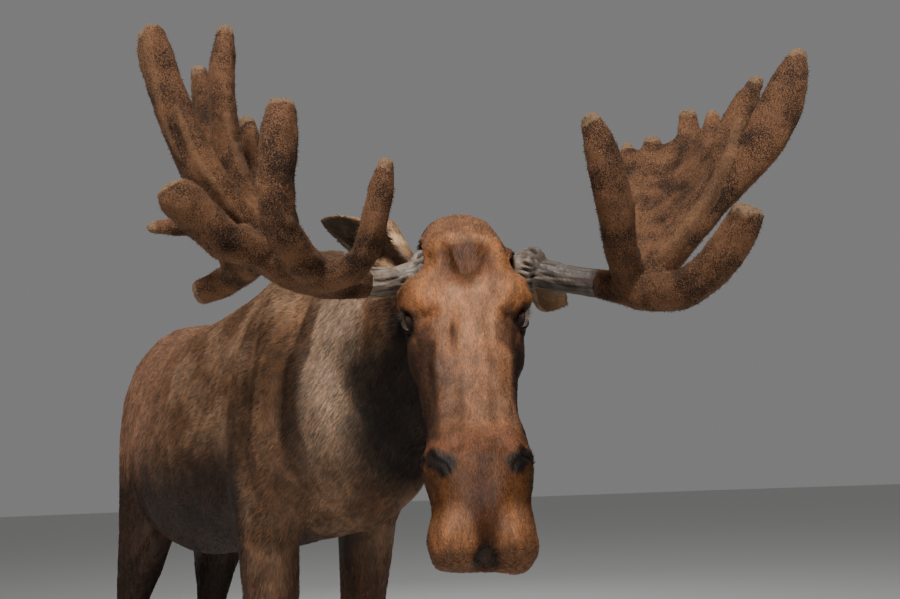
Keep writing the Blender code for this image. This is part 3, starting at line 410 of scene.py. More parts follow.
# the groove down the middle of the upper lip
cheek(1, ((0.690, 0.006, 0.100), (0.735, 0.006, 0.088), (0.758, 0.006, 0.055), (0.763, 0.004, 0.030)),
      (0.007, 0.009, 0.011, 0.010), (0.0, -0.005, -0.008, -0.006))
dab(face(0.755, 0.055, 0.030), (0.022, 0.024, 0.030), 0.006, way=DOWN_FACE)
dab(face(0.650, 0.0, 0.106), (0.030, 0.022, 0.03), -0.003)
dab(face(0.590, 0.0, 0.100), (0.045, 0.026, 0.03), 0.003)

# eyes: the ball sits in a socket between two thick lids, the upper one with a fold over it
EYE_AXES, LID_LONG, LID_UP, LID_DOWN = {}, 0.0195, 0.0118, 0.0105
for side in (-1, 1):
    gaze = LEFT * side * 0.93 + OUT_FACE * 0.32 + DOWN_FACE * 0.10
    gaze /= np.linalg.norm(gaze)
    along = DOWN_FACE * 0.95 + OUT_FACE * 0.12
    along -= gaze * (along @ gaze)
    along /= np.linalg.norm(along)
    over = np.cross(gaze, along) * side
    over *= np.sign(over @ OUT_FACE)
    EYE_AXES[side] = np.array((along, over, gaze))
    x, y, z = ((where - EYES[side]) @ EYE_AXES[side].T).T
    edge = np.where(y > 0, LID_UP, LID_DOWN) * np.clip(1 - (x / LID_LONG) ** 2, 0, None) ** 0.75
    # how far each place lies from the lids' rims: below 0 inside the opening
    gap = np.where(np.abs(x) > LID_LONG, np.hypot(np.abs(x) - LID_LONG, y), np.abs(y) - edge)
    front = (z > 0) & (np.hypot(x, y) < 0.060)
    snap = front & (np.abs(gap) < 0.0009) & (np.abs(x) < LID_LONG)
    y = np.where(snap, np.sign(y) * edge, y)
    gap = np.where(snap, 0.0, gap)
    ball = np.sqrt(np.clip(EYE_R ** 2 - x * x - y * y, 0, None))
    lid = ball + 0.0006 + 0.0034 * ramp(gap, 0.0, 0.0022) + 0.001 * ramp(gap, 0.002, 0.005) * (y > 0)
    dip = np.where(y > 0, 0.0025, 0.0016) * np.exp(-((gap - 0.0062) / 0.0018) ** 2)
    blend = ramp(gap, 0.020, 0.0055)
    new = np.where(gap < -0.0002, ball - 0.006, z * (1 - blend) + np.maximum(lid, z * 0.55) * blend - dip)
    z = np.where(front & (np.hypot(x, y) < 0.045), new, z)
    where[:] = EYES[side] + np.stack([x, y, z], 1) @ EYE_AXES[side]
put(hide.data, where)
out = directions(hide.data)

# body: edge of the shoulder blade, folds before it, elbow, breast and forearm
for line, width, push in (
        (((0.070, 0.060, 1.800), (0.052, 0.044, 1.743), (-0.014, -0.040, 1.592), (-0.043, -0.076, 1.469),
          (-0.046, -0.074, 1.340), (-0.010, -0.050, 1.200)), 0.011, (0.0, -0.005, -0.008, -0.008, -0.006, 0.0)),
        (((0.040, -0.100, 1.68), (-0.004, -0.120, 1.577), (-0.032, -0.148, 1.432), (-0.039, -0.138, 1.330),
          (0.0, -0.12, 1.20)), 0.024, (0.0, 0.010, 0.014, 0.012, 0.0)),
        (((0.045, -0.170, 1.66), (0.000, -0.172, 1.541), (-0.016, -0.204, 1.427), (-0.018, -0.195, 1.326),
          (0.02, -0.18, 1.20)), 0.021, (0.0, -0.012, -0.016, -0.012, 0.0)),
        (((0.045, -0.319, 1.52), (0.025, -0.273, 1.410), (0.040, -0.288, 1.300), (0.075, -0.269, 1.20)),
         0.045, (0.0, 0.010, 0.008, 0.0)),
        (((0.099, -0.104, 1.078), (0.120, -0.164, 1.107), (0.129, -0.239, 1.126), (0.145, -0.308, 1.17)),
         (0.012, 0.012, 0.012, 0.016), (-0.004, -0.012, -0.012, 0.0)),
        (((0.090, -0.189, 1.150), (0.105, -0.238, 1.180), (0.115, -0.298, 1.22)), 0.022, (0.0, 0.009, 0.0)),
        (((0.057, -0.113, 1.130), (0.061, -0.108, 1.060), (0.073, -0.102, 0.980), (0.088, -0.109, 0.860),
          (0.095, -0.09, 0.72)), 0.014, (0.0, 0.006, 0.007, 0.005, 0.0))):
    fold(line, width, push)
# ribs, then hip bone, flank, thigh, the hollow behind it, and the lower edge of the neck
for y in 0.112 + 0.075 * np.arange(7):
    fold([(0.005, y - 0.05, 1.60), (-0.050, y, 1.42), (-0.045, y + 0.03, 1.25), (0.045, y + 0.05, 1.08)],
         0.020, (0.0, 0.0022, 0.0028, 0.0))
for line, width, push in (
        (((0.055, 0.771, 1.755), (0.040, 0.851, 1.72), (0.065, 0.931, 1.66)), 0.040, (0.0, 0.012, 0.0)),
        (((0.025, 0.671, 1.62), (-0.015, 0.711, 1.45), (-0.005, 0.631, 1.25), (0.055, 0.511, 1.08)),
         0.040, (0.0, -0.008, -0.010, 0.0)),
        (((0.015, 0.891, 1.50), (-0.020, 0.881, 1.33), (0.015, 0.871, 1.15), (0.055, 0.911, 0.98)),
         0.030, (0.0, 0.008, 0.008, 0.0)),
        (((0.025, 0.991, 1.52), (0.025, 1.022, 1.35), (0.045, 0.991, 1.15)), 0.018, (0.0, -0.010, 0.0)),
        (((0.075, -0.509, 1.62), (0.070, -0.389, 1.50), (0.095, -0.288, 1.36)), 0.030, (0.0, -0.007, 0.0))):
    fold(line, width, push)
crease([(0.235, 0.011, 1.86), (0.235, 0.262, 1.83), (0.235, 0.511, 1.81), (0.235, 0.811, 1.83)],
       0.030, (0.0, 0.004, 0.004, 0.0))
# legs: a pad on each knee, and a groove down both sides of knee, hock and cannon
for side, knee_y, hock_y in ((-1, -0.0726, 1.1094), (1, 0.0474, 1.0594)):
    x = MIDDLE_X + side * 0.153
    dab(np.array((x, knee_y - 0.05, 0.60)), (0.034, 0.03, 0.040), 0.004, np.eye(3))
    for way in (-1, 1):
        for out_x, back_y, height, width, push in (
                ((0.034, 0.028, 0.030), knee_y + np.array((0.018, 0.022, 0.022)), (0.50, 0.36, 0.24), 0.010, -0.004),
                ((0.030, 0.026, 0.026), hock_y + np.array((0.030, 0.048, 0.045)), (0.90, 0.80, 0.72), 0.014, -0.008),
                ((0.028, 0.026, 0.030), hock_y + np.array((0.016, 0.012, 0.008)), (0.58, 0.40, 0.24), 0.010, -0.004)):
            crease([(x + way * o, b, h) for o, b, h in zip(out_x, back_y, height)], width, (0.0, push, 0.0))
put(hide.data, where)
relax(hide.data, 0.6 * ramp(np.min([((where - c) ** 2).sum(1) for c in EYES.values()], 0), 0.0012, 0.0022), 2)

# fewer, larger facets on the smooth flanks, all of them kept on the head
where = places(hide.data)
group = hide.vertex_groups.new(name="free")
free = np.round(1.0 - 0.85 * ramp(far_from(where, HEAD_MID), 0.62, 0.46), 1)
for level in np.unique(free):
    group.add(np.flatnonzero(free == level).tolist(), float(level), "REPLACE")
share = 150000 / sum(len(facet.vertices) - 2 for facet in hide.data.polygons)
finish(hide, "DECIMATE", ratio=share, vertex_group="free", vertex_group_factor=1.0, use_collapse_triangulate=True)
hide.vertex_groups.clear()
only(hide)
bpy.ops.object.shade_smooth()


# ---- markings and painted shade: one set for hide and hair ----
# The coat is grey-brown on the back, russet on the rump and nearly black on throat and belly, partly through painted
# shade, and the face runs from a warm brow to a chocolate muzzle.  Hide and hair are coloured alike, place by place.
class Wire:
    """A value on its way between a material's nodes, to be written into sums."""

    def __init__(self, recipe, socket):
        self.recipe, self.socket = recipe, socket

    def math(self, operation, *others, **more):
        return self.recipe.step("ShaderNodeMath", {"operation": operation, **more}, [self, *others])

    def __add__(self, other): return self.math("ADD", other)
    def __mul__(self, other): return self.math("MULTIPLY", other)
    def __sub__(self, other): return self.math("SUBTRACT", other)
    def __truediv__(self, other): return self.math("DIVIDE", other)
    def __pow__(self, other): return self.math("POWER", other)
    def __rsub__(self, other): return self.recipe.step("ShaderNodeMath", {"operation": "SUBTRACT"}, [other, self])
    __radd__, __rmul__ = __add__, __mul__


class Recipe:
    """A material in the making: a shader whose sockets are set or fed one by one."""

    def __init__(self, name, **constant):
        self.material = bpy.data.materials.new(name)
        self.material.use_nodes = True
        self.tree = self.material.node_tree
        self.shader = self.tree.nodes["Principled BSDF"]
        for key, value in constant.items():
            self.shader.inputs[key.replace("_", " ")].default_value = value
        self.place = self.step("ShaderNodeTexCoord", out="Object")

    def fill(self, inputs, values):
        for key, value in (values.items() if isinstance(values, dict) else enumerate(values)):
            if isinstance(value, Wire):
                self.tree.links.new(value.socket, inputs[key])
            else:
                inputs[key].default_value = value

    def step(self, kind, settings=None, values=(), out=0):
        node = self.tree.nodes.new(kind)
        for key, value in (settings or {}).items():
            setattr(node, key, value)
        self.fill(node.inputs, values)
        return Wire(self, node.outputs[out])

    def slope(self, value, low, high):
        """0 at low, 1 at high, soft between; low may be the higher number."""
        if low > high:
            return 1 - self.slope(value, high, low)
        return self.step("ShaderNodeMapRange", {"interpolation_type": "SMOOTHSTEP"}, [value, low, high, 0.0, 1.0])

    def along(self, way, start):
        """How far a point lies from start in one direction."""
        way = [float(v) for v in way]
        dot = self.step("ShaderNodeVectorMath", {"operation": "DOT_PRODUCT"}, [self.place, way], out="Value")
        return dot - float(np.dot(way, start))

    def away(self, centre, reach=(1, 1, 1)):
        """How far a point lies from a centre, each axis measured in its own reach."""
        off = self.step("ShaderNodeVectorMath", {"operation": "SUBTRACT"}, [self.place, [float(v) for v in centre]])
        off = self.step("ShaderNodeVectorMath", {"operation": "DIVIDE"}, [off, reach])
        return self.step("ShaderNodeVectorMath", {"operation": "LENGTH"}, [off], out="Value")

    def noise(self, scale, detail=2.0, stretch=None, source=None, rough=0.5):
        source = source or self.place
        if stretch:
            source = self.step("ShaderNodeMapping", None, {"Vector": source, "Scale": stretch})
        return self.step("ShaderNodeTexNoise", None,
                         {"Vector": source, "Scale": scale, "Detail": detail, "Roughness": rough})

    def mix(self, share, low, high, blend="MIX"):
        settings = {"data_type": "RGBA", "blend_type": blend}
        return self.step("ShaderNodeMix", settings, {0: share, 6: low, 7: high}, out=2)

    def scale(self, colour, by):
        """A colour made darker or lighter all through."""
        colour = colour if isinstance(colour, Wire) else colour[:3]
        return self.step("ShaderNodeVectorMath", {"operation": "SCALE"}, {0: colour, "Scale": by})

    def bump(self, height, distance, strength=1.0, below=None):
        values = {"Strength": strength, "Distance": distance, "Height": height}
        if below:
            values["Normal"] = below
        return self.step("ShaderNodeBump", None, values)


def dye(red, green, blue):
    """A colour from a colour card's 0 to 255 numbers."""
    return [float(((v / 255 + 0.055) / 1.055) ** 2.4 if v > 10 else v / 3295) for v in (red, green, blue)] + [1.0]


def coat_colour(mix):
    """The markings and painted shade that hide and hair share: grey-brown back, russet rump, dark flanks and throat
    (partly painted shade), warm brow, chocolate muzzle, paler legs; painted shade on the face's sides, round the eyes
    and nostrils, in creases and ear cups, and painted light and shade on the shoulder folds."""
    y, z = (mix.along(axis, (0, 0, 0)) for axis in np.eye(3)[1:])
    t, s, n = (mix.along(axis, POLL) for axis in HEAD_AXES)
    blotch, wisp = mix.noise(7.0, 3.0), mix.noise(30.0, 3.0)
    fleck = mix.noise(46.0, 3.0, stretch=(1.0, 1.0, 0.45))

    def oval(down, across, long, wide):
        """1 in a soft ragged oval of the face."""
        a, b = (t - down) / long, (s - across) / wide
        return mix.slope(a * a + b * b + wisp * 0.9, 2.5, 0.7)

    def spots(tone, share, colour, *ovals):
        """Paints ovals of the face one over another: markings, and painted shade in creases and round the eyes."""
        for place in ovals:
            tone = mix.mix(oval(*place) * share, tone, dye(*colour))
        return tone

    body = mix.mix(mix.slope(blotch, 0.36, 0.66), dye(94, 69, 50), dye(128, 102, 80))
    lift = mix.slope(z, 1.16, 1.34) * mix.slope(z, 1.74, 1.62)
    # a pale grey-tan band over the shoulders, partly painted sheen; the raised fold before the shoulder blade painted
    # lighter, a painted highlight, and the sunk fold in front of it painted darker, a painted shade
    for middle, half, share, tone in (
            (-0.310, 0.110, 0.75, dye(156, 134, 114)), (-0.135, 0.040, 0.7, dye(156, 120, 92)),
            (-0.205, 0.030, 0.8, dye(66, 46, 33))):
        a = (y + blotch * 0.02 - middle) / half
        body = mix.mix(mix.slope(a * a, 1.5, 0.4) * lift * share, body, tone)
    body = mix.mix(mix.slope(y, 0.36, 0.86) * 0.8, body, dye(142, 107, 86))
    # the low flank and belly darker: dark coat there, deepened by painted shade
    body = mix.mix(mix.slope(z + blotch * 0.10, 1.46, 1.24) * mix.slope(y, -0.08, 0.04) * 0.9, body, dye(38, 26, 19))
    body = mix.mix(mix.slope(z + blotch * 0.08, 1.84, 1.95) * 0.45, body, dye(74, 54, 42))
    # painted shadow of the head over the throat and lower neck, on a coat that is dark there
    neck = mix.slope(y, -0.31, -0.41) * mix.slope(z, 1.60, 1.45)
    body = mix.mix(neck * 0.92, body, dye(18, 14, 12))
    # the upper hind legs darker than the fore: painted shade
    leg = mix.mix(mix.slope(y, 0.3, 0.6), dye(90, 66, 52), dye(44, 32, 24))
    leg = mix.mix(mix.slope(z, 0.78, 0.45), leg, dye(112, 94, 76))
    leg = mix.mix(mix.slope(z, 0.24, 0.14), leg, dye(62, 50, 42))
    body = mix.mix(mix.slope(z, 1.06, 0.84), body, leg)
    front = mix.mix(mix.slope(t + blotch * 0.10, 0.34, 0.52), dye(138, 96, 67), dye(116, 84, 62))
    front = mix.mix(mix.slope(t, 0.10, 0.03) * 0.8, front, dye(124, 90, 67))
    # mounds and brows, forehead, the two pale spots of the bridge, the hollow, painted shade in the creases and under
    # the brows, nose, poll, painted shade round the eyes and under the lump below the right eye, and the dark lines
    # down the nose
    front = spots(front, 0.8, (149, 100, 63), (0.150, -0.050, 0.046, 0.030), (0.140, 0.080, 0.046, 0.032),
                  (0.260, -0.080, 0.046, 0.034), (0.262, 0.098, 0.046, 0.034))
    front = spots(front, 0.5, (165, 118, 84), (0.300, 0.010, 0.050, 0.060))
    front = spots(front, 0.6, (173, 127, 93), (0.240, -0.019, 0.024, 0.016), (0.229, 0.035, 0.024, 0.016))
    front = spots(front, 0.85, (66, 39, 20), (0.162, 0.006, 0.060, 0.052))
    # painted shade in the creases beside the knob and down the face, and under the brows
    front = spots(front, 0.5, (70, 43, 29), (0.130, -0.020, 0.030, 0.007), (0.126, 0.050, 0.030, 0.007),
                  (0.335, -0.025, 0.030, 0.007), (0.350, -0.027, 0.030, 0.007), (0.294, -0.080, 0.030, 0.030),
                  (0.296, 0.098, 0.030, 0.030))
    front = spots(front, 0.5, (149, 107, 80), (0.455, 0.010, 0.120, 0.020))
    front = spots(front, 0.3, (174, 133, 103), (0.092, 0.008, 0.020, 0.044))
    # painted shade round the eyes
    front = spots(front, 0.65, (41, 29, 23), (0.330, -0.106, 0.046, 0.032), (0.326, 0.096, 0.046, 0.034))
    # painted shadow under the lump below the right eye
    front = spots(front, 0.6, (87, 62, 48), (0.475, -0.055, 0.080, 0.022))
    front = spots(front, 0.6, (88, 62, 43), (0.505, -0.022, 0.070, 0.008), (0.505, 0.036, 0.070, 0.008))
    # the muzzle, its two paler lobes and the dark line between them
    front = mix.mix(mix.slope(t + blotch * 0.05, 0.54, 0.60), front, dye(104, 69, 48))
    front = mix.mix(mix.slope(t + blotch * 0.05, 0.60, 0.66), front, dye(81, 50, 24))
    front = spots(front, 0.85, (127, 88, 60), (0.727, -0.042, 0.038, 0.034), (0.729, 0.058, 0.038, 0.034))
    front = spots(front, 0.8, (62, 33, 13), (0.690, 0.008, 0.070, 0.018))
    # painted shade: the face is painted dark where its sides turn away from the front
    edge = (s - 0.010).math("ABSOLUTE") + wisp * 0.008
    side = mix.slope(edge, 0.066, 0.080) * mix.slope(t, 0.31, 0.36) * mix.slope(t, 0.60, 0.55)
    side = side.math("MAXIMUM", mix.slope(n + blotch * 0.03, 0.010, -0.040))
    front = mix.mix(side * 0.92, front, dye(56, 38, 28))
    front = mix.mix(mix.slope(n, -0.04, -0.10) * mix.slope(t, 0.10, 0.02), front, dye(92, 72, 56))
    # painted shade: deeper down the head's sides and under it, darker still
    front = mix.mix(mix.slope(n, -0.05, -0.14) * mix.slope(t, 0.06, 0.16) * 0.9, front, dye(28, 21, 17))
    # painted shade: a dark ring round each eye socket, and inside and round each nostril
    for sign, eye in EYES.items():
        ring = mix.slope(mix.away(eye + EYE_AXES[sign][2] * 0.012), 0.046, 0.026)
        front = mix.mix(ring * 0.92, front, dye(30, 21, 16))
        for spot in NOSTRIL[sign][1:]:
            front = mix.mix(mix.slope(mix.away(spot), 0.024, 0.011) * 0.95, front, dye(22, 15, 12))
    patch = mix.away(face(0.752, 0.006, 0.058), (0.021, 0.019, 0.034)) + wisp * 0.5
    front = mix.mix(mix.slope(patch, 1.45, 1.05), front, mix.mix(wisp, dye(38, 26, 17), dye(58, 39, 24)))
    head = mix.slope(n, -0.25, -0.19) * mix.slope(mix.away(HEAD_MID), 0.56, 0.48)
    tone = mix.mix(head, body, front)
    facing = mix.step("ShaderNodeNewGeometry", out="Normal")
    # painted shade: each ear cup is darker on the side that faces into it, and deepest towards the right ear's base
    for sign, (root, tip), cup in zip((-1, 1), ears, ((0.62, 0.42, -0.42), (0.78, -0.35, -0.30))):
        way = RACK_LEFT * (sign * cup[0]) + RACK_AHEAD * cup[1] + np.array((0, 0, cup[2]))
        into = mix.step("ShaderNodeVectorMath", {"operation": "DOT_PRODUCT"},
                        [facing, [float(v) for v in way]], out="Value")
        outer = mix.slope(mix.away(tip), 0.150, 0.090)
        inside = mix.mix(outer, dye(112, 90, 70), dye(84, 72, 58)) if sign < 0 else dye(112, 90, 68)
        ear = mix.mix(mix.slope(into + wisp * 0.3, 0.30, 0.75), dye(150, 120, 90), inside)
        off = mix.away((root + tip) / 2 + (tip - root) * 0.06, (0.135, 0.135, 0.135))
        tone = mix.mix(mix.slope(off, 1.12, 0.98), tone, ear)
    tone = mix.mix(mix.slope(mix.away((0.052, -0.570, 1.735), (1.5, 1.5, 0.8)), 0.032, 0.014), tone, dye(206, 176, 140))
    shade = mix.slope(fleck, 0.30, 0.72)
    tone = mix.scale(tone, mix.slope(mix.noise(15.0, 4.0, rough=0.65), 0.28, 0.74) * 0.38 + 0.79)
    grain = mix.noise(85.0, 4.0, source=mix.step("ShaderNodeCombineXYZ", None, [t * 0.16, s, n]), rough=0.65)
    tone = mix.scale(tone, 1 - head * 0.16 + head * mix.slope(grain, 0.30, 0.70) * 0.32)
    return mix.mix(0.38, tone, mix.mix(shade, dye(44, 32, 26), dye(190, 160, 130)), "OVERLAY"), head, fleck


skin = Recipe("hide_under_hair", Roughness=0.60, Specular_IOR_Level=0.16)
tone, head, fleck = coat_colour(skin)
grain = skin.noise(330.0, 2.0, stretch=(1.0, 1.0, 0.22))
skin.fill(skin.shader.inputs, {"Base Color": skin.scale(tone, skin.slope(grain, 0.25, 0.75) * 0.45 + 0.62),
          "Normal": skin.bump(grain, 0.0016, 0.9, skin.bump(fleck, 0.004, 0.5))})
hide.data.materials.append(skin.material)
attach(hide, "root")
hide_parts(*FLESH, "ear_L", "ear_R")

# ---- coat: short summer hair, lying back and down ----
# Summer hair is two or three centimetres long and lies flat: up the face from the nose, back and
# down over neck and flanks, straight down the legs, long on mane, bell and brisket.
where, out = places(hide.data), directions(hide.data)
corners = read(hide.data.polygons, "vertices", 3, np.int32)
dice = np.random.default_rng(7)


def lie_of(spot, up):
    """Which way the hair lies at each place of the hide."""
    x, y, z = (spot - (MIDDLE_X, 0, 0)).T
    _, s, n = ((spot - POLL) @ HEAD_AXES.T).T
    wave = 0.22 * np.sin(7.0 * y + 5.0 * z) + 0.14 * np.sin(17.0 * z - 9.0 * y + 4 * x)
    way = np.stack([0.10 * np.sign(x), np.full(len(x), 0.90), -0.48 * ramp(z, 1.90, 1.66) + wave * 0.5], 1)
    way += ramp(y, -0.10, -0.40)[:, None] * (-0.05, -0.25, -0.35)
    leg = np.maximum(ramp(z, 1.18, 0.92), ramp(y, 0.70, 0.90) * ramp(z, 1.75, 1.55))[:, None]
    way = way * (1 - leg) + leg * (0.0, 0.10, -1.0)
    cheek = ramp(n, 0.03, -0.09)[:, None]
    front = -DOWN_FACE * (1 - 0.55 * cheek) - OUT_FACE * (0.25 + 0.75 * cheek) + LEFT * (s * 2.5)[:, None]
    head = (ramp(n, -0.25, -0.19) * ramp(far_from(spot, HEAD_MID), 0.56, 0.48))[:, None]
    way = way * (1 - head) + head * front
    for root, tip in ears:
        near = ramp(off_line(spot, root + (tip - root) * 0.15, tip)[0], 0.085, 0.055)[:, None]
        way = way * (1 - near) + near * (tip - root) / np.linalg.norm(tip - root)
    bell = ramp(off_bell_of(spot), 0.09, 0.06)[:, None]
    way = way * (1 - bell) + bell * (0.0, 0.05, -1.0)
    way -= up * (way * up).sum(1)[:, None]
    return way / np.maximum(np.linalg.norm(way, axis=1), 1e-6)[:, None]


def hair_of(spot):
    """Length, width and rise of the hair at each place."""
    y, z = spot[:, 1], spot[:, 2]
    t, _, n = ((spot - POLL) @ HEAD_AXES.T).T
    long = np.full(len(spot), 0.024)
    long += 0.014 * ramp(y, 0.05, -0.30) * ramp(z, 1.66, 1.80) + 0.008 * ramp(z, 1.12, 1.04) * ramp(z, 0.94, 1.0)
    long += 0.010 * ramp(y, -0.45, -0.60) * ramp(z, 1.45, 1.25) + 0.010 * ramp(y, 1.00, 1.12)
    long -= 0.008 * ramp(z, 1.00, 0.80) + 0.006 * ramp(z, 0.62, 0.45)
    long += 0.010 * ramp(z, 0.16, 0.12)
    wide = 0.0022 - 0.0006 * ramp(z, 1.00, 0.70)
    rise = 0.0042 - 0.0020 * ramp(z, 1.00, 0.60)
    head = ramp(n, -0.26, -0.18) * ramp(far_from(spot, HEAD_MID), 0.58, 0.48)
    face_long = 0.0075 + 0.0075 * ramp(t, 0.26, 0.12) + 0.008 * ramp(n, -0.06, -0.16) - 0.002 * ramp(t, 0.56, 0.70)
    tuft = ramp(far_from(spot, face(0.165, 0.005, 0.030)), 0.044, 0.020)
    face_long += 0.006 * tuft
    long = long * (1 - head) + face_long * head
    wide = wide * (1 - head) + (0.0010 + 0.0006 * ramp(n, -0.04, -0.14) + 0.0005 * tuft) * head
    rise = rise * (1 - head) + head * (
        0.0016 + 0.0020 * ramp(n, -0.04, -0.14) + 0.0015 * ramp(t, 0.22, 0.08) + 0.002 * tuft)
    for root, tip in ears:
        near = ramp(off_line(spot, root, tip)[0], 0.085, 0.055)
        long, wide, rise = (value * (1 - near) + ear * near
                            for value, ear in ((long, 0.012), (wide, 0.0013), (rise, 0.003)))
    bell = ramp(off_bell_of(spot), 0.09, 0.06)
    return long + bell * 0.022, wide + bell * 0.0006, rise + bell * 0.003


def bare(spot):
    """1 where no hair grows: the lid openings, nostrils, nose patch, burrs and hooves."""
    none = np.zeros(len(spot), bool)
    for side in (-1, 1):
        x, y, z = ((spot - EYES[side]) @ EYE_AXES[side].T).T
        none |= (np.hypot(x / 0.0225, y / 0.0145) < 1.0) & (z > 0)
        for a, b in zip(NOSTRIL[side][:-1], NOSTRIL[side][1:]):
            none |= off_line(spot, a, b)[0] < 0.0085
        none |= off_line(spot, crown(side, 0.085, -0.003, 0), crown(side, 0.30, 0.02, -0.03))[0] < 0.034
    none |= (((spot - face(0.752, 0.006, 0.058)) @ HEAD_AXES.T / (0.017, 0.010, 0.020)) ** 2).sum(1) < 1
    return none


strand_recipe = Recipe("summer_hair", Roughness=0.55, Specular_IOR_Level=0.14)
tone, head, fleck = coat_colour(strand_recipe)
strand = strand_recipe.step("ShaderNodeAttribute", {"attribute_name": "strand"}, out="Fac")
reach = strand_recipe.step("ShaderNodeAttribute", {"attribute_name": "reach"}, out="Fac")
# each tuft is painted darker at its root, a painted shade where the hairs overlie one another, and lighter towards its
# tip
tone = strand_recipe.scale(tone, (strand * 0.80 + 0.62) * (reach * 0.36 + 0.76))
tone = strand_recipe.mix(strand * reach * 0.25, tone, strand_recipe.scale(tone, 1.6))
strand_recipe.fill(strand_recipe.shader.inputs, {"Base Color": tone})


def bristle(label, points, blade, spot, patch, values, material):
    """One mesh of many small shapes of the same facets, each with its patch of the flat sheet."""
    faces = (np.arange(len(points)) * points.shape[1])[:, None, None] + blade[None]
    mesh = bpy.data.meshes.new(label)
    mesh.vertices.add(points.size // 3)
    mesh.vertices.foreach_set("co", points.astype(np.float32).ravel())
    mesh.loops.add(faces.size)
    mesh.loops.foreach_set("vertex_index", faces.astype(np.int32).ravel())
    mesh.polygons.add(faces.size // 3)
    mesh.polygons.foreach_set("loop_start", np.arange(faces.size // 3, dtype=np.int32) * 3)
    sheet = np.clip(spot[:, None] + (np.array(patch) * 0.003 - 0.0015)[blade.ravel()][None], 0.0005, 0.9995)
    mesh.uv_layers.new(name="OFBake").data.foreach_set("uv", sheet.astype(np.float32).ravel())
    for key, value in values.items():
        mesh.attributes.new(key, "FLOAT", "POINT").data.foreach_set("value", value.astype(np.float32))
    mesh.update()
    mesh.validate()
    mesh.materials.append(material)
    piece = bpy.data.objects.new(label, mesh)
    bpy.context.scene.collection.objects.link(piece)
    return piece


def plant(label, chosen, count):
    """Sets tufts on the chosen facets of the hide, each a thin bent blade, all in one mesh."""
    tri = corners[chosen]
    region = bpy.data.meshes.new("region")
    used, local = np.unique(tri, return_inverse=True)
    region.from_pydata(where[used].tolist(), [], local.reshape(-1, 3).tolist())
    cloth = bpy.data.objects.new("region", region)
    bpy.context.scene.collection.objects.link(cloth)
    edit_all(cloth)
    bpy.ops.uv.smart_project(angle_limit=radians(60), island_margin=0.004)
    bpy.ops.object.mode_set(mode="OBJECT")
    flat = read(region.uv_layers.active.data, "uv", 2).reshape(-1, 3, 2)
    bpy.data.objects.remove(cloth)
    mid = where[tri].mean(1)
    area = np.linalg.norm(np.cross(where[tri[:, 1]] - where[tri[:, 0]], where[tri[:, 2]] - where[tri[:, 0]]), axis=1)
    long, wide, rise = hair_of(mid)
    crowd = area / (long * wide) * ~bare(mid)
    pick = np.sort(dice.choice(len(tri), count, p=crowd / crowd.sum()))
    share = dice.random((count, 2))
    share[share.sum(1) > 1] = 1 - share[share.sum(1) > 1]
    share = np.column_stack([1 - share.sum(1), share])
    root = (where[tri[pick]] * share[:, :, None]).sum(1)
    up = (out[tri[pick]] * share[:, :, None]).sum(1)
    up /= np.linalg.norm(up, axis=1)[:, None]
    spot = (flat[pick] * share[:, :, None]).sum(1)
    way, (long, wide, rise) = lie_of(root, up), hair_of(root)
    across = np.cross(up, way)
    turn = dice.normal(0, 0.16, count)
    c, s = np.cos(turn)[:, None], np.sin(turn)[:, None]
    way, across = way * c + across * s, across * c - way * s
    long, wide = long * dice.uniform(0.65, 1.25, count), wide * dice.uniform(0.7, 1.3, count)
    rise, bend = rise * dice.uniform(0.45, 1.15, count), dice.normal(0, 0.10, count) * long
    n = lambda v: v[:, None]
    points = np.stack([
        root - up * 0.0012,
        root + way * n(long * 0.38) + across * n(wide * 0.5) + up * n(rise * 0.35),
        root + way * n(long * 0.34) - across * n(wide * 0.5) + up * n(rise * 0.35),
        root + way * n(long * 0.42) + up * n(rise * 0.50 + wide * 0.35),
        root + way * n(long) + across * n(bend) + up * n(rise)], 1)
    blade = np.array([(0, 3, 1), (0, 2, 3), (1, 3, 4), (3, 2, 4), (0, 1, 2), (1, 4, 2)])
    values = {"strand": np.repeat(dice.random(count), 5), "reach": np.tile((0.0, 0.4, 0.4, 0.5, 1.0), count)}
    coat = bristle(label, points, blade, spot, [(0.5, 0.0), (1.0, 0.4), (0.0, 0.4), (0.5, 0.5), (0.5, 1.0)], values,
                   strand_recipe.material)
    coat.data.polygons.foreach_set("use_smooth", np.ones(count * 6, bool))
    tilt = dice.normal(0, 0.13, (count, 1, 3)) + across[:, None] * np.array((0, 0.30, -0.30, 0, 0))[None, :, None] \
        + way[:, None] * 0.14
    soft = up[:, None] + tilt
    soft /= np.linalg.norm(soft, axis=2)[:, :, None]
    coat.data.normals_split_custom_set_from_vertices(soft.reshape(-1, 3).astype(np.float32).tolist())
    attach(coat, "root")


middle = where[corners].mean(1)
tsn = (middle - POLL) @ HEAD_AXES.T
on_head = (tsn[:, 2] > -0.225) & (far_from(middle, HEAD_MID) < 0.50)
on_ear = np.any([off_line(middle, root + (tip - root) * 0.1, tip)[0] < 0.078 for root, tip in ears], 0)
high, y = middle[:, 2] > 1.0, middle[:, 1]
for label, chosen, count in (
        ("coat_face", on_head & (tsn[:, 0] > 0.30) & ~on_ear, 32500),
        ("coat_crown", (on_head & (tsn[:, 0] <= 0.30)) | on_ear, 32500),
        ("coat_neck", ~on_head & ~on_ear & high & (y < -0.36), 30000),
        ("coat_shoulders", ~on_ear & high & (y >= -0.36) & (y < 0.16), 32500),
        ("coat_barrel", high & (y >= 0.16) & (y < 0.72), 32000),
        ("coat_rump", high & (y >= 0.72), 27000),
        ("coat_forelegs", ~high & (y < 0.40) & ~on_head, 22000),
        ("coat_hindlegs", ~high & (y >= 0.40), 25000)):
    plant(label, np.flatnonzero(chosen), count)

# ---- antlers ----
# Grown anew each summer as bone under velvet: a thick plush of short hair, over-ripe and blunt at
# the tips.  At the foot of each the velvet has worn off a grey, grooved beam above a pearly burr.
cloud = bpy.data.textures.new("cloud", "CLOUDS")
cloud.noise_scale, cloud.noise_depth = 0.035, 2


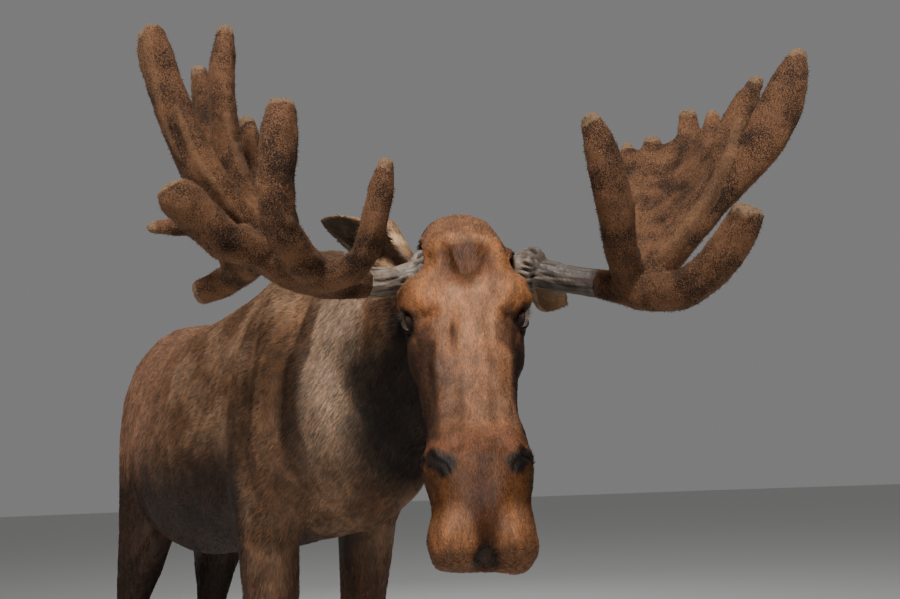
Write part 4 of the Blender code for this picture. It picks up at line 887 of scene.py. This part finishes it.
def plush(mix):
    """Velvet colour: fine brown speckle, pale on the swollen tips, with a painted sheen along the rims."""
    speck, patches = mix.noise(420.0, 4.0, rough=0.7), mix.noise(16.0, 3.0)
    rub_and_sheen = mix.noise(70.0, 4.0, rough=0.7)
    tone = mix.mix(mix.slope(speck + patches * 0.5, 0.64, 0.88), dye(32, 20, 14), dye(114, 80, 55))
    tone = mix.scale(tone, mix.slope(mix.noise(9.0, 2.0), 0.30, 0.70) * 0.35 + 0.78)
    tone = mix.mix(mix.slope(patches, 0.30, 0.75) * 0.35, tone, dye(84, 53, 35))
    rim, tip = (mix.step("ShaderNodeAttribute", {"attribute_name": key}, out="Fac") for key in ("rim", "tip"))
    # painted sheen: the velvet's raised rims are painted paler
    tone = mix.mix(mix.slope(rim + rub_and_sheen * 0.5, 0.62, 1.10) * 0.3, tone, dye(120, 88, 62))
    tone = mix.mix(mix.slope(tip + rub_and_sheen * 1.6, 1.35, 1.65) * 0.6, tone, dye(126, 102, 78))
    return tone, speck


velvet_mix = Recipe("velvet", Roughness=0.85, Specular_IOR_Level=0.15, Sheen_Weight=0.15, Sheen_Roughness=0.35)
velvet_mix.shader.inputs["Sheen Tint"].default_value = dye(200, 158, 118)
tone, speck = plush(velvet_mix)
nap = velvet_mix.noise(620.0, 2.0)
velvet_mix.fill(velvet_mix.shader.inputs, {"Base Color": velvet_mix.scale(tone, nap * 0.6 + 0.72),
                "Normal": velvet_mix.bump(nap, 0.0012, 0.9, velvet_mix.bump(speck, 0.0020, 0.8))})
fuzz_mix = Recipe("velvet_nap", Roughness=0.7, Specular_IOR_Level=0.2, Sheen_Weight=0.08, Sheen_Roughness=0.4)
strand = fuzz_mix.step("ShaderNodeAttribute", {"attribute_name": "strand"}, out="Fac")
fuzz_mix.fill(fuzz_mix.shader.inputs, {"Base Color": fuzz_mix.scale(plush(fuzz_mix)[0], strand * 0.5 + 0.85)})
bone = Recipe("weathered_beam_shaded_left", Roughness=0.55, Specular_IOR_Level=0.4)
grooves = bone.step("ShaderNodeAttribute", {"attribute_name": "groove"}, out="Fac")
stain = bone.noise(34.0, 4.0)
fibre = bone.noise(160.0, 4.0, stretch=(0.30, 1.0, 1.0))
grey = bone.mix(bone.slope(stain, 0.35, 0.68), dye(84, 72, 62), dye(126, 110, 95))
# painted shade: the left beam is painted darker than the right
grey = bone.mix(bone.slope(bone.along(RACK_LEFT, CROWN), 0.06, 0.16) * 0.75, grey, dye(52, 44, 38))
grey = bone.mix(bone.slope(grooves + fibre * 0.5, 0.66, 0.24), grey, dye(36, 28, 22))
bone.fill(bone.shader.inputs, {"Base Color": grey, "Normal": bone.bump(fibre, 0.002, 0.8)})


def fuzz(label, mesh, count, long):
    """Short nap standing out of the velvet, as three-sided points."""
    quad = read(mesh.polygons, "vertices", 4, np.int32)
    spots, outs = places(mesh), directions(mesh)
    a, b, c, d = (spots[quad[:, k]] for k in range(4))
    area = np.linalg.norm(np.cross(c - a, d - b), axis=1)
    pick = np.sort(dice.choice(len(quad), count, p=area / area.sum()))
    share = dice.dirichlet((1, 1, 1, 1), count)[:, :, None]
    root, up = (spots[quad[pick]] * share).sum(1), (outs[quad[pick]] * share).sum(1)
    lean = dice.normal(0, 0.55, (count, 3)) - (0, 0, 0.25)
    tip = root + (up + lean - up * (up * lean).sum(1)[:, None]) * (long * dice.uniform(0.5, 1.2, count))[:, None]
    side = np.cross(up, dice.normal(0, 1, (count, 3)))
    side /= np.linalg.norm(side, axis=1)[:, None]
    back = np.cross(up, side)
    thick, base = 0.0007, root - up * 0.001
    points = np.stack([base + side * thick, base - side * thick * 0.5 + back * thick * 0.9,
                       base - side * thick * 0.5 - back * thick * 0.9, tip], 1)
    spot = (read(mesh.uv_layers.active.data, "uv", 2).reshape(-1, 4, 2)[pick] * share).sum(1)
    values = {"strand": dice.random(count)}
    for key in ("rim", "tip"):
        values[key] = read(mesh.attributes[key].data, "value", 1)[quad[pick, 0], 0]
    pile = bristle(label, points, np.array([(0, 1, 3), (1, 2, 3), (2, 0, 3), (0, 2, 1)]), spot,
                   [(1.0, 0.0), (0.0, 0.0), (0.5, 0.3), (0.5, 1.0)],
                   {key: np.repeat(value, 4) for key, value in values.items()}, fuzz_mix.material)
    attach(pile, "root")


def foremost(sign, marks, rel):
    """The foremost places of an antler at these distances out and up from between the two."""
    shown = []
    for far, up in marks:
        near = np.flatnonzero(np.hypot(rel @ RACK_LEFT * sign - far, rel[:, 2] - up) < 0.008)
        if len(near):
            shown.append(where[near[np.argmax((rel @ RACK_AHEAD)[near])]])
    return shown


def near_tips(points, sign, low, high):
    """1 at the tip of each tine, sloping to 0 from high out to low."""
    return np.max([ramp(far_from(points, crown(sign, *spot)), low, high) for spot in TIPS[sign]], 0)


TIPS = {-1: ((0.167, 0.311, 0.114), (0.352, 0.351, 0.214), (0.552, 0.330, 0.064), (0.622, 0.326, 0.402),
             (0.509, 0.244, 0.474), (0.631, 0.086, 0.500), (0.525, 0.050, 0.384), (0.772, -0.041, 0.153),
             (0.638, -0.028, -0.025)),
        1: ((0.204, 0.320, 0.184), (0.452, 0.350, -0.030), (0.595, 0.204, 0.330), (0.646, 0.272, 0.340),
            (0.381, -0.033, 0.330), (0.440, -0.031, 0.340), (0.522, 0.004, 0.386), (0.563, 0.038, 0.360))}
for side, sign in (("R", -1), ("L", 1)):
    parts = sorted(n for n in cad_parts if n.startswith(f"antler_{side}_") and not n.endswith("beam"))
    antler = twin("velvet_" + side, *parts)
    finish(antler, "DISPLACE", strength=0.0014, mid_level=0.0)
    finish(antler, "REMESH", mode="VOXEL", voxel_size=0.0042)
    relax(antler.data, np.full(len(antler.data.vertices), 1.0), 34, back=-0.52)
    where = places(antler.data)
    relax(antler.data, near_tips(where, sign, 0.062, 0.036) * 0.9, 36, back=0)
    relax(antler.data, np.ones(len(where)), 6, back=-0.52)
    where, out = places(antler.data), directions(antler.data)
    if sign > 0:  # a rib runs from the beam up the palm into the first long tine, with a trough beside it
        marks = ((0.337, -0.056), (0.375, -0.028), (0.440, 0.055), (0.483, 0.132), (0.525, 0.219))
        rib = foremost(1, marks, where - CROWN)
        crease(rib, 0.012, (0.003, 0.008, 0.011, 0.011, 0.005))
        trough = [spot - RACK_LEFT * 0.026 + np.array((0, 0, 0.014)) for spot in rib]
        crease(trough, 0.014, (-0.001, -0.006, -0.009, -0.008, -0.002))
    else:  # a sharp crest runs up the front of the foremost tine, over a sunk face
        for line, width, push in (
                (((0.560, 0.262, 0.10), (0.599, 0.300, 0.228), (0.615, 0.350, 0.390)), 0.012, 0.007),
                (((0.575, 0.285, 0.12), (0.570, 0.315, 0.24), (0.585, 0.350, 0.37)), 0.014, -0.004)):
            crease([crown(-1, *spot) for spot in line], width, push)
        rel = where - CROWN
        for ridge in (((0.330, -0.010), (0.400, 0.060), (0.455, 0.150), (0.490, 0.260)),
                      ((0.400, -0.020), (0.470, 0.050), (0.530, 0.130), (0.570, 0.230))):
            crease(foremost(-1, ridge, rel), 0.009, 0.004)
    kept = where.copy()
    relax(antler.data, np.full(len(where), 1.0), 14, back=0)
    rim = np.clip(((kept - places(antler.data)) * out).sum(1) / 0.004, 0, 1)
    tip = near_tips(kept, sign, 0.046, 0.018)
    warts = np.sin(kept @ np.array((330.0, 290.0, 370.0)) + 2 * np.sin(kept @ np.array((-190.0, 240.0, 150.0))))
    kept += out * (tip * 0.0022 * warts)[:, None]
    put(antler.data, kept)
    for key, value in (("rim", rim), ("tip", tip)):
        antler.data.attributes.new(key, "FLOAT", "POINT").data.foreach_set("value", value.astype(np.float32))
    finish(antler, "DISPLACE", texture=cloud, texture_coords="LOCAL", strength=0.0045, mid_level=0.45)
    edit_all(antler)
    bpy.ops.uv.smart_project(angle_limit=radians(66), island_margin=0.003)
    bpy.ops.object.mode_set(mode="OBJECT")
    bpy.ops.object.shade_smooth()
    antler.data.materials.append(velvet_mix.material)
    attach(antler, "root")
    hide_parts(*parts)
    fuzz("velvet_nap_" + side, antler.data, 14000, 0.0042)

    beam = twin("beam_" + side, f"antler_{side}_beam")
    finish(beam, "DISPLACE", strength=0.0006, mid_level=0.0)
    finish(beam, "REMESH", mode="VOXEL", voxel_size=0.0030)
    relax(beam.data, np.full(len(beam.data.vertices), 1.0), 30, back=-0.52)
    spot, outs = places(beam.data), directions(beam.data)
    line = [crown(sign, *spots) for spots in (
        (0.085, -0.006, 0.001), (0.135, 0.004, -0.010), (0.180, 0.020, -0.030), (0.250, 0.062, -0.052))]
    gap, length, middle_of, run = np.full(len(spot), 9.0), np.zeros(len(spot)), np.zeros((len(spot), 3)), 0.0
    for a, b in zip(line[:-1], line[1:]):
        off, share = off_line(spot, a, b)
        near = off < gap
        gap[near] = off[near]
        length[near] = run + share[near] * np.linalg.norm(b - a)
        middle_of[near] = (a + share[:, None] * (b - a))[near]
        run += np.linalg.norm(b - a)
    ray = spot - middle_of
    turn = np.arctan2(ray[:, 2], ray @ RACK_AHEAD)
    wave = np.sin(7 * turn + 26 * length + 1.3 * np.sin(60 * length)) \
        + 0.8 * np.sin(13 * turn - 17 * length + 2 * np.sin(45 * length)) + 0.6 * np.sin(23 * turn + 9 * length)
    burr = np.exp(-((length - 0.038) / 0.018) ** 2)
    pearl = np.sin(8 * turn + 95 * length + np.sin(3 * turn)) \
        * np.sin(7 * turn - 130 * length + 1.5 * np.sin(2 * turn + 1)) \
        + 0.5 * np.sin(13 * turn + 170 * length + 2 * np.sin(4 * turn))
    spot += outs * (wave * 0.0009 * ramp(length, 0.03, 0.06) + burr * (0.008 + 0.0045 * pearl))[:, None]
    put(beam.data, spot)
    tint = np.clip(0.5 + wave * 0.22 * (1 - burr) + burr * (pearl * 0.5 - 0.1), 0, 1)
    beam.data.attributes.new("groove", "FLOAT", "POINT").data.foreach_set("value", tint.astype(np.float32))
    bpy.ops.object.shade_smooth()
    beam.data.materials.append(bone.material)
    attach(beam, "root")
    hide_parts(f"antler_{side}_beam")

# ---- eyes ----
# Large dark balls with a level slot of a pupil, wet all over, a little flatter behind than the
# clear bulge in front.  Long lashes stand out from the upper lid.
iris = Recipe("wet_eye", Roughness=0.06, Specular_IOR_Level=0.5, Coat_Weight=1.0, Coat_Roughness=0.02)
lash_mix = Recipe("lashes", Roughness=0.45)
lash_mix.fill(lash_mix.shader.inputs, {"Base Color": lash_mix.scale(dye(106, 93, 83), lash_mix.noise(90.0) + 0.4)})
colour = dye(10, 7, 6)
for sign in (-1, 1):
    x, y, z = (iris.along(axis, EYES[sign]) for axis in EYE_AXES[sign])
    front = iris.slope(z, 0.004, 0.010)
    disc = (x * x + y * y * 1.1) ** 0.5
    ring = iris.slope(disc, 0.0150, 0.0135) * front
    rays = iris.noise(420.0, 3.0)
    colour = iris.mix(ring, colour, iris.mix(rays, dye(34, 19, 11), dye(72, 42, 24)))
    slot_hole = ((x / 0.0095) ** 2.0 + (y / 0.0046) ** 2.0) ** 0.5
    colour = iris.mix(iris.slope(slot_hole, 1.15, 0.9) * front, colour, dye(3, 3, 3))
iris.fill(iris.shader.inputs, {"Base Color": colour})
for side, sign in (("R", -1), ("L", 1)):
    gaze = Vector(EYE_AXES[sign][2])
    bpy.ops.object.select_all(action="DESELECT")
    bpy.ops.mesh.primitive_uv_sphere_add(segments=56, ring_count=32, radius=0.0208, location=EYES[sign],
                                         rotation=gaze.to_track_quat("Z", "Y").to_euler())
    ball = bpy.context.object
    ball.name = "eyeball_" + side
    bpy.ops.object.transform_apply(location=True, rotation=True, scale=True)
    edit_all(ball)
    bpy.ops.mesh.select_all(action="DESELECT")
    bpy.ops.object.mode_set(mode="OBJECT")
    for vert in ball.data.vertices:
        vert.select = (vert.co - Vector(EYES[sign])).normalized().dot(gaze) > 0.86
    bpy.ops.object.mode_set(mode="EDIT")
    bpy.ops.mesh.select_mode(type="VERT")
    bpy.ops.transform.translate(value=gaze * 0.0006)
    bpy.ops.mesh.vertices_smooth(factor=0.5, repeat=3)
    bpy.ops.object.mode_set(mode="OBJECT")
    bpy.ops.object.shade_smooth()
    ball.data.materials.append(iris.material)
    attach(ball, "root")
    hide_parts("eye_" + side)
    count = 90
    u = dice.uniform(-0.95, 0.95, count)
    along, over, gaze = EYE_AXES[sign]
    x, y = u * LID_LONG, np.clip(1 - u ** 2, 0, None) ** 0.75 * LID_UP + 0.0012
    z = np.sqrt(np.clip(EYE_R ** 2 - x * x - y * y, 0, None)) + 0.0030
    root = EYES[sign] + x[:, None] * along + y[:, None] * over + z[:, None] * gaze
    way = gaze * 0.85 + over * 0.30 + along * (u * 0.45)[:, None] - np.array((0, 0, 0.22))
    way += dice.normal(0, 0.12, (count, 3))
    way /= np.linalg.norm(way, axis=1)[:, None]
    long = dice.uniform(0.014, 0.026, count) * (1 - 0.4 * np.abs(u))
    steps = np.linspace(0, 1, 5)
    bows = root[:, None] + way[:, None] * (long[:, None] * steps)[:, :, None] \
        + over * (long[:, None] * steps ** 2 * 0.25)[:, :, None]
    side1 = np.cross(way, over)
    side1 /= np.linalg.norm(side1, axis=1)[:, None]
    side2 = np.cross(way, side1)
    thick = 0.00045 * (1 - steps[:4])
    rings = [bows[:, :4] + (side1[:, None] * cos(a) + side2[:, None] * sin(a)) * thick[None, :, None]
             for a in (0, 2 * pi / 3, 4 * pi / 3)]
    points = np.concatenate([np.stack(rings, 2).reshape(count, 12, 3), bows[:, 4:5]], 1)
    blade = [(0, 2, 1)] + [facet for k in (0, 3, 6) for j in range(3) for facet in (
        (k + j, k + (j + 1) % 3, k + 3 + (j + 1) % 3), (k + j, k + 3 + (j + 1) % 3, k + 3 + j))] \
        + [(9 + j, 9 + (j + 1) % 3, 12) for j in range(3)]
    lash = bpy.data.meshes.new("lashes_" + side)
    faces = (np.arange(count) * 13)[:, None, None] + np.array(blade)[None]
    lash.from_pydata(points.reshape(-1, 3).tolist(), [], faces.reshape(-1, 3).tolist())
    fringe = bpy.data.objects.new("lashes_" + side, lash)
    bpy.context.scene.collection.objects.link(fringe)
    lash.materials.append(lash_mix.material)
    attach(fringe, "root")

# ---- hooves and dewclaws ----
# Each foot stands on two long pointed toes of dark horn, ringed where they grew, with two small
# claws behind the pastern.
horn = Recipe("hoof_horn", Roughness=0.42, Specular_IOR_Level=0.4)
height = horn.along((0, 0, 1), (0, 0, 0))
rings = (height * 520.0 + horn.noise(9.0) * 6.0).math("SINE") * 0.5 + 0.5
streak = horn.noise(60.0, 4.0, stretch=(1.0, 1.0, 0.15))
colour = horn.mix(horn.slope(streak, 0.30, 0.72), dye(34, 29, 26), dye(72, 62, 54))
colour = horn.mix(horn.slope(height, 0.020, 0.002) * 0.6, colour, dye(96, 84, 70))
horn.fill(horn.shader.inputs, {"Base Color": colour, "Normal": horn.bump(rings * 0.6 + streak * 0.6, 0.0012, 0.8)})
for foot in ("foreleg_R", "foreleg_L", "hindleg_R", "hindleg_L"):
    for part in ("hoof_inner", "hoof_outer", "dewclaw_inner", "dewclaw_outer"):
        name = f"{foot}_{part}"
        toe = twin(name + "_horn", name)
        finish(toe, "REMESH", mode="VOXEL", voxel_size=0.0030 if "hoof" in part else 0.0026)
        relax(toe.data, np.full(len(toe.data.vertices), 1.0), 10)
        spot, outs = places(toe.data), directions(toe.data)
        if "hoof" in part:
            wall = ramp(np.abs(outs[:, 2]), 0.85, 0.5)
            spot += outs * (0.0003 * np.sin(spot[:, 2] * 640.0 + 3 * np.sin(spot[:, 2] * 90.0)) * wall)[:, None]
            spot[:, 2] = np.where(spot[:, 2] < 0.0035, 0.0, spot[:, 2])
        put(toe.data, spot)
        bpy.ops.object.shade_smooth()
        toe.data.materials.append(horn.material)
        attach(toe, "root")
        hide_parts(name)

size = {"cad": [list(c) for c in cad_box], "visual": [list(c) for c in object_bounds()]}
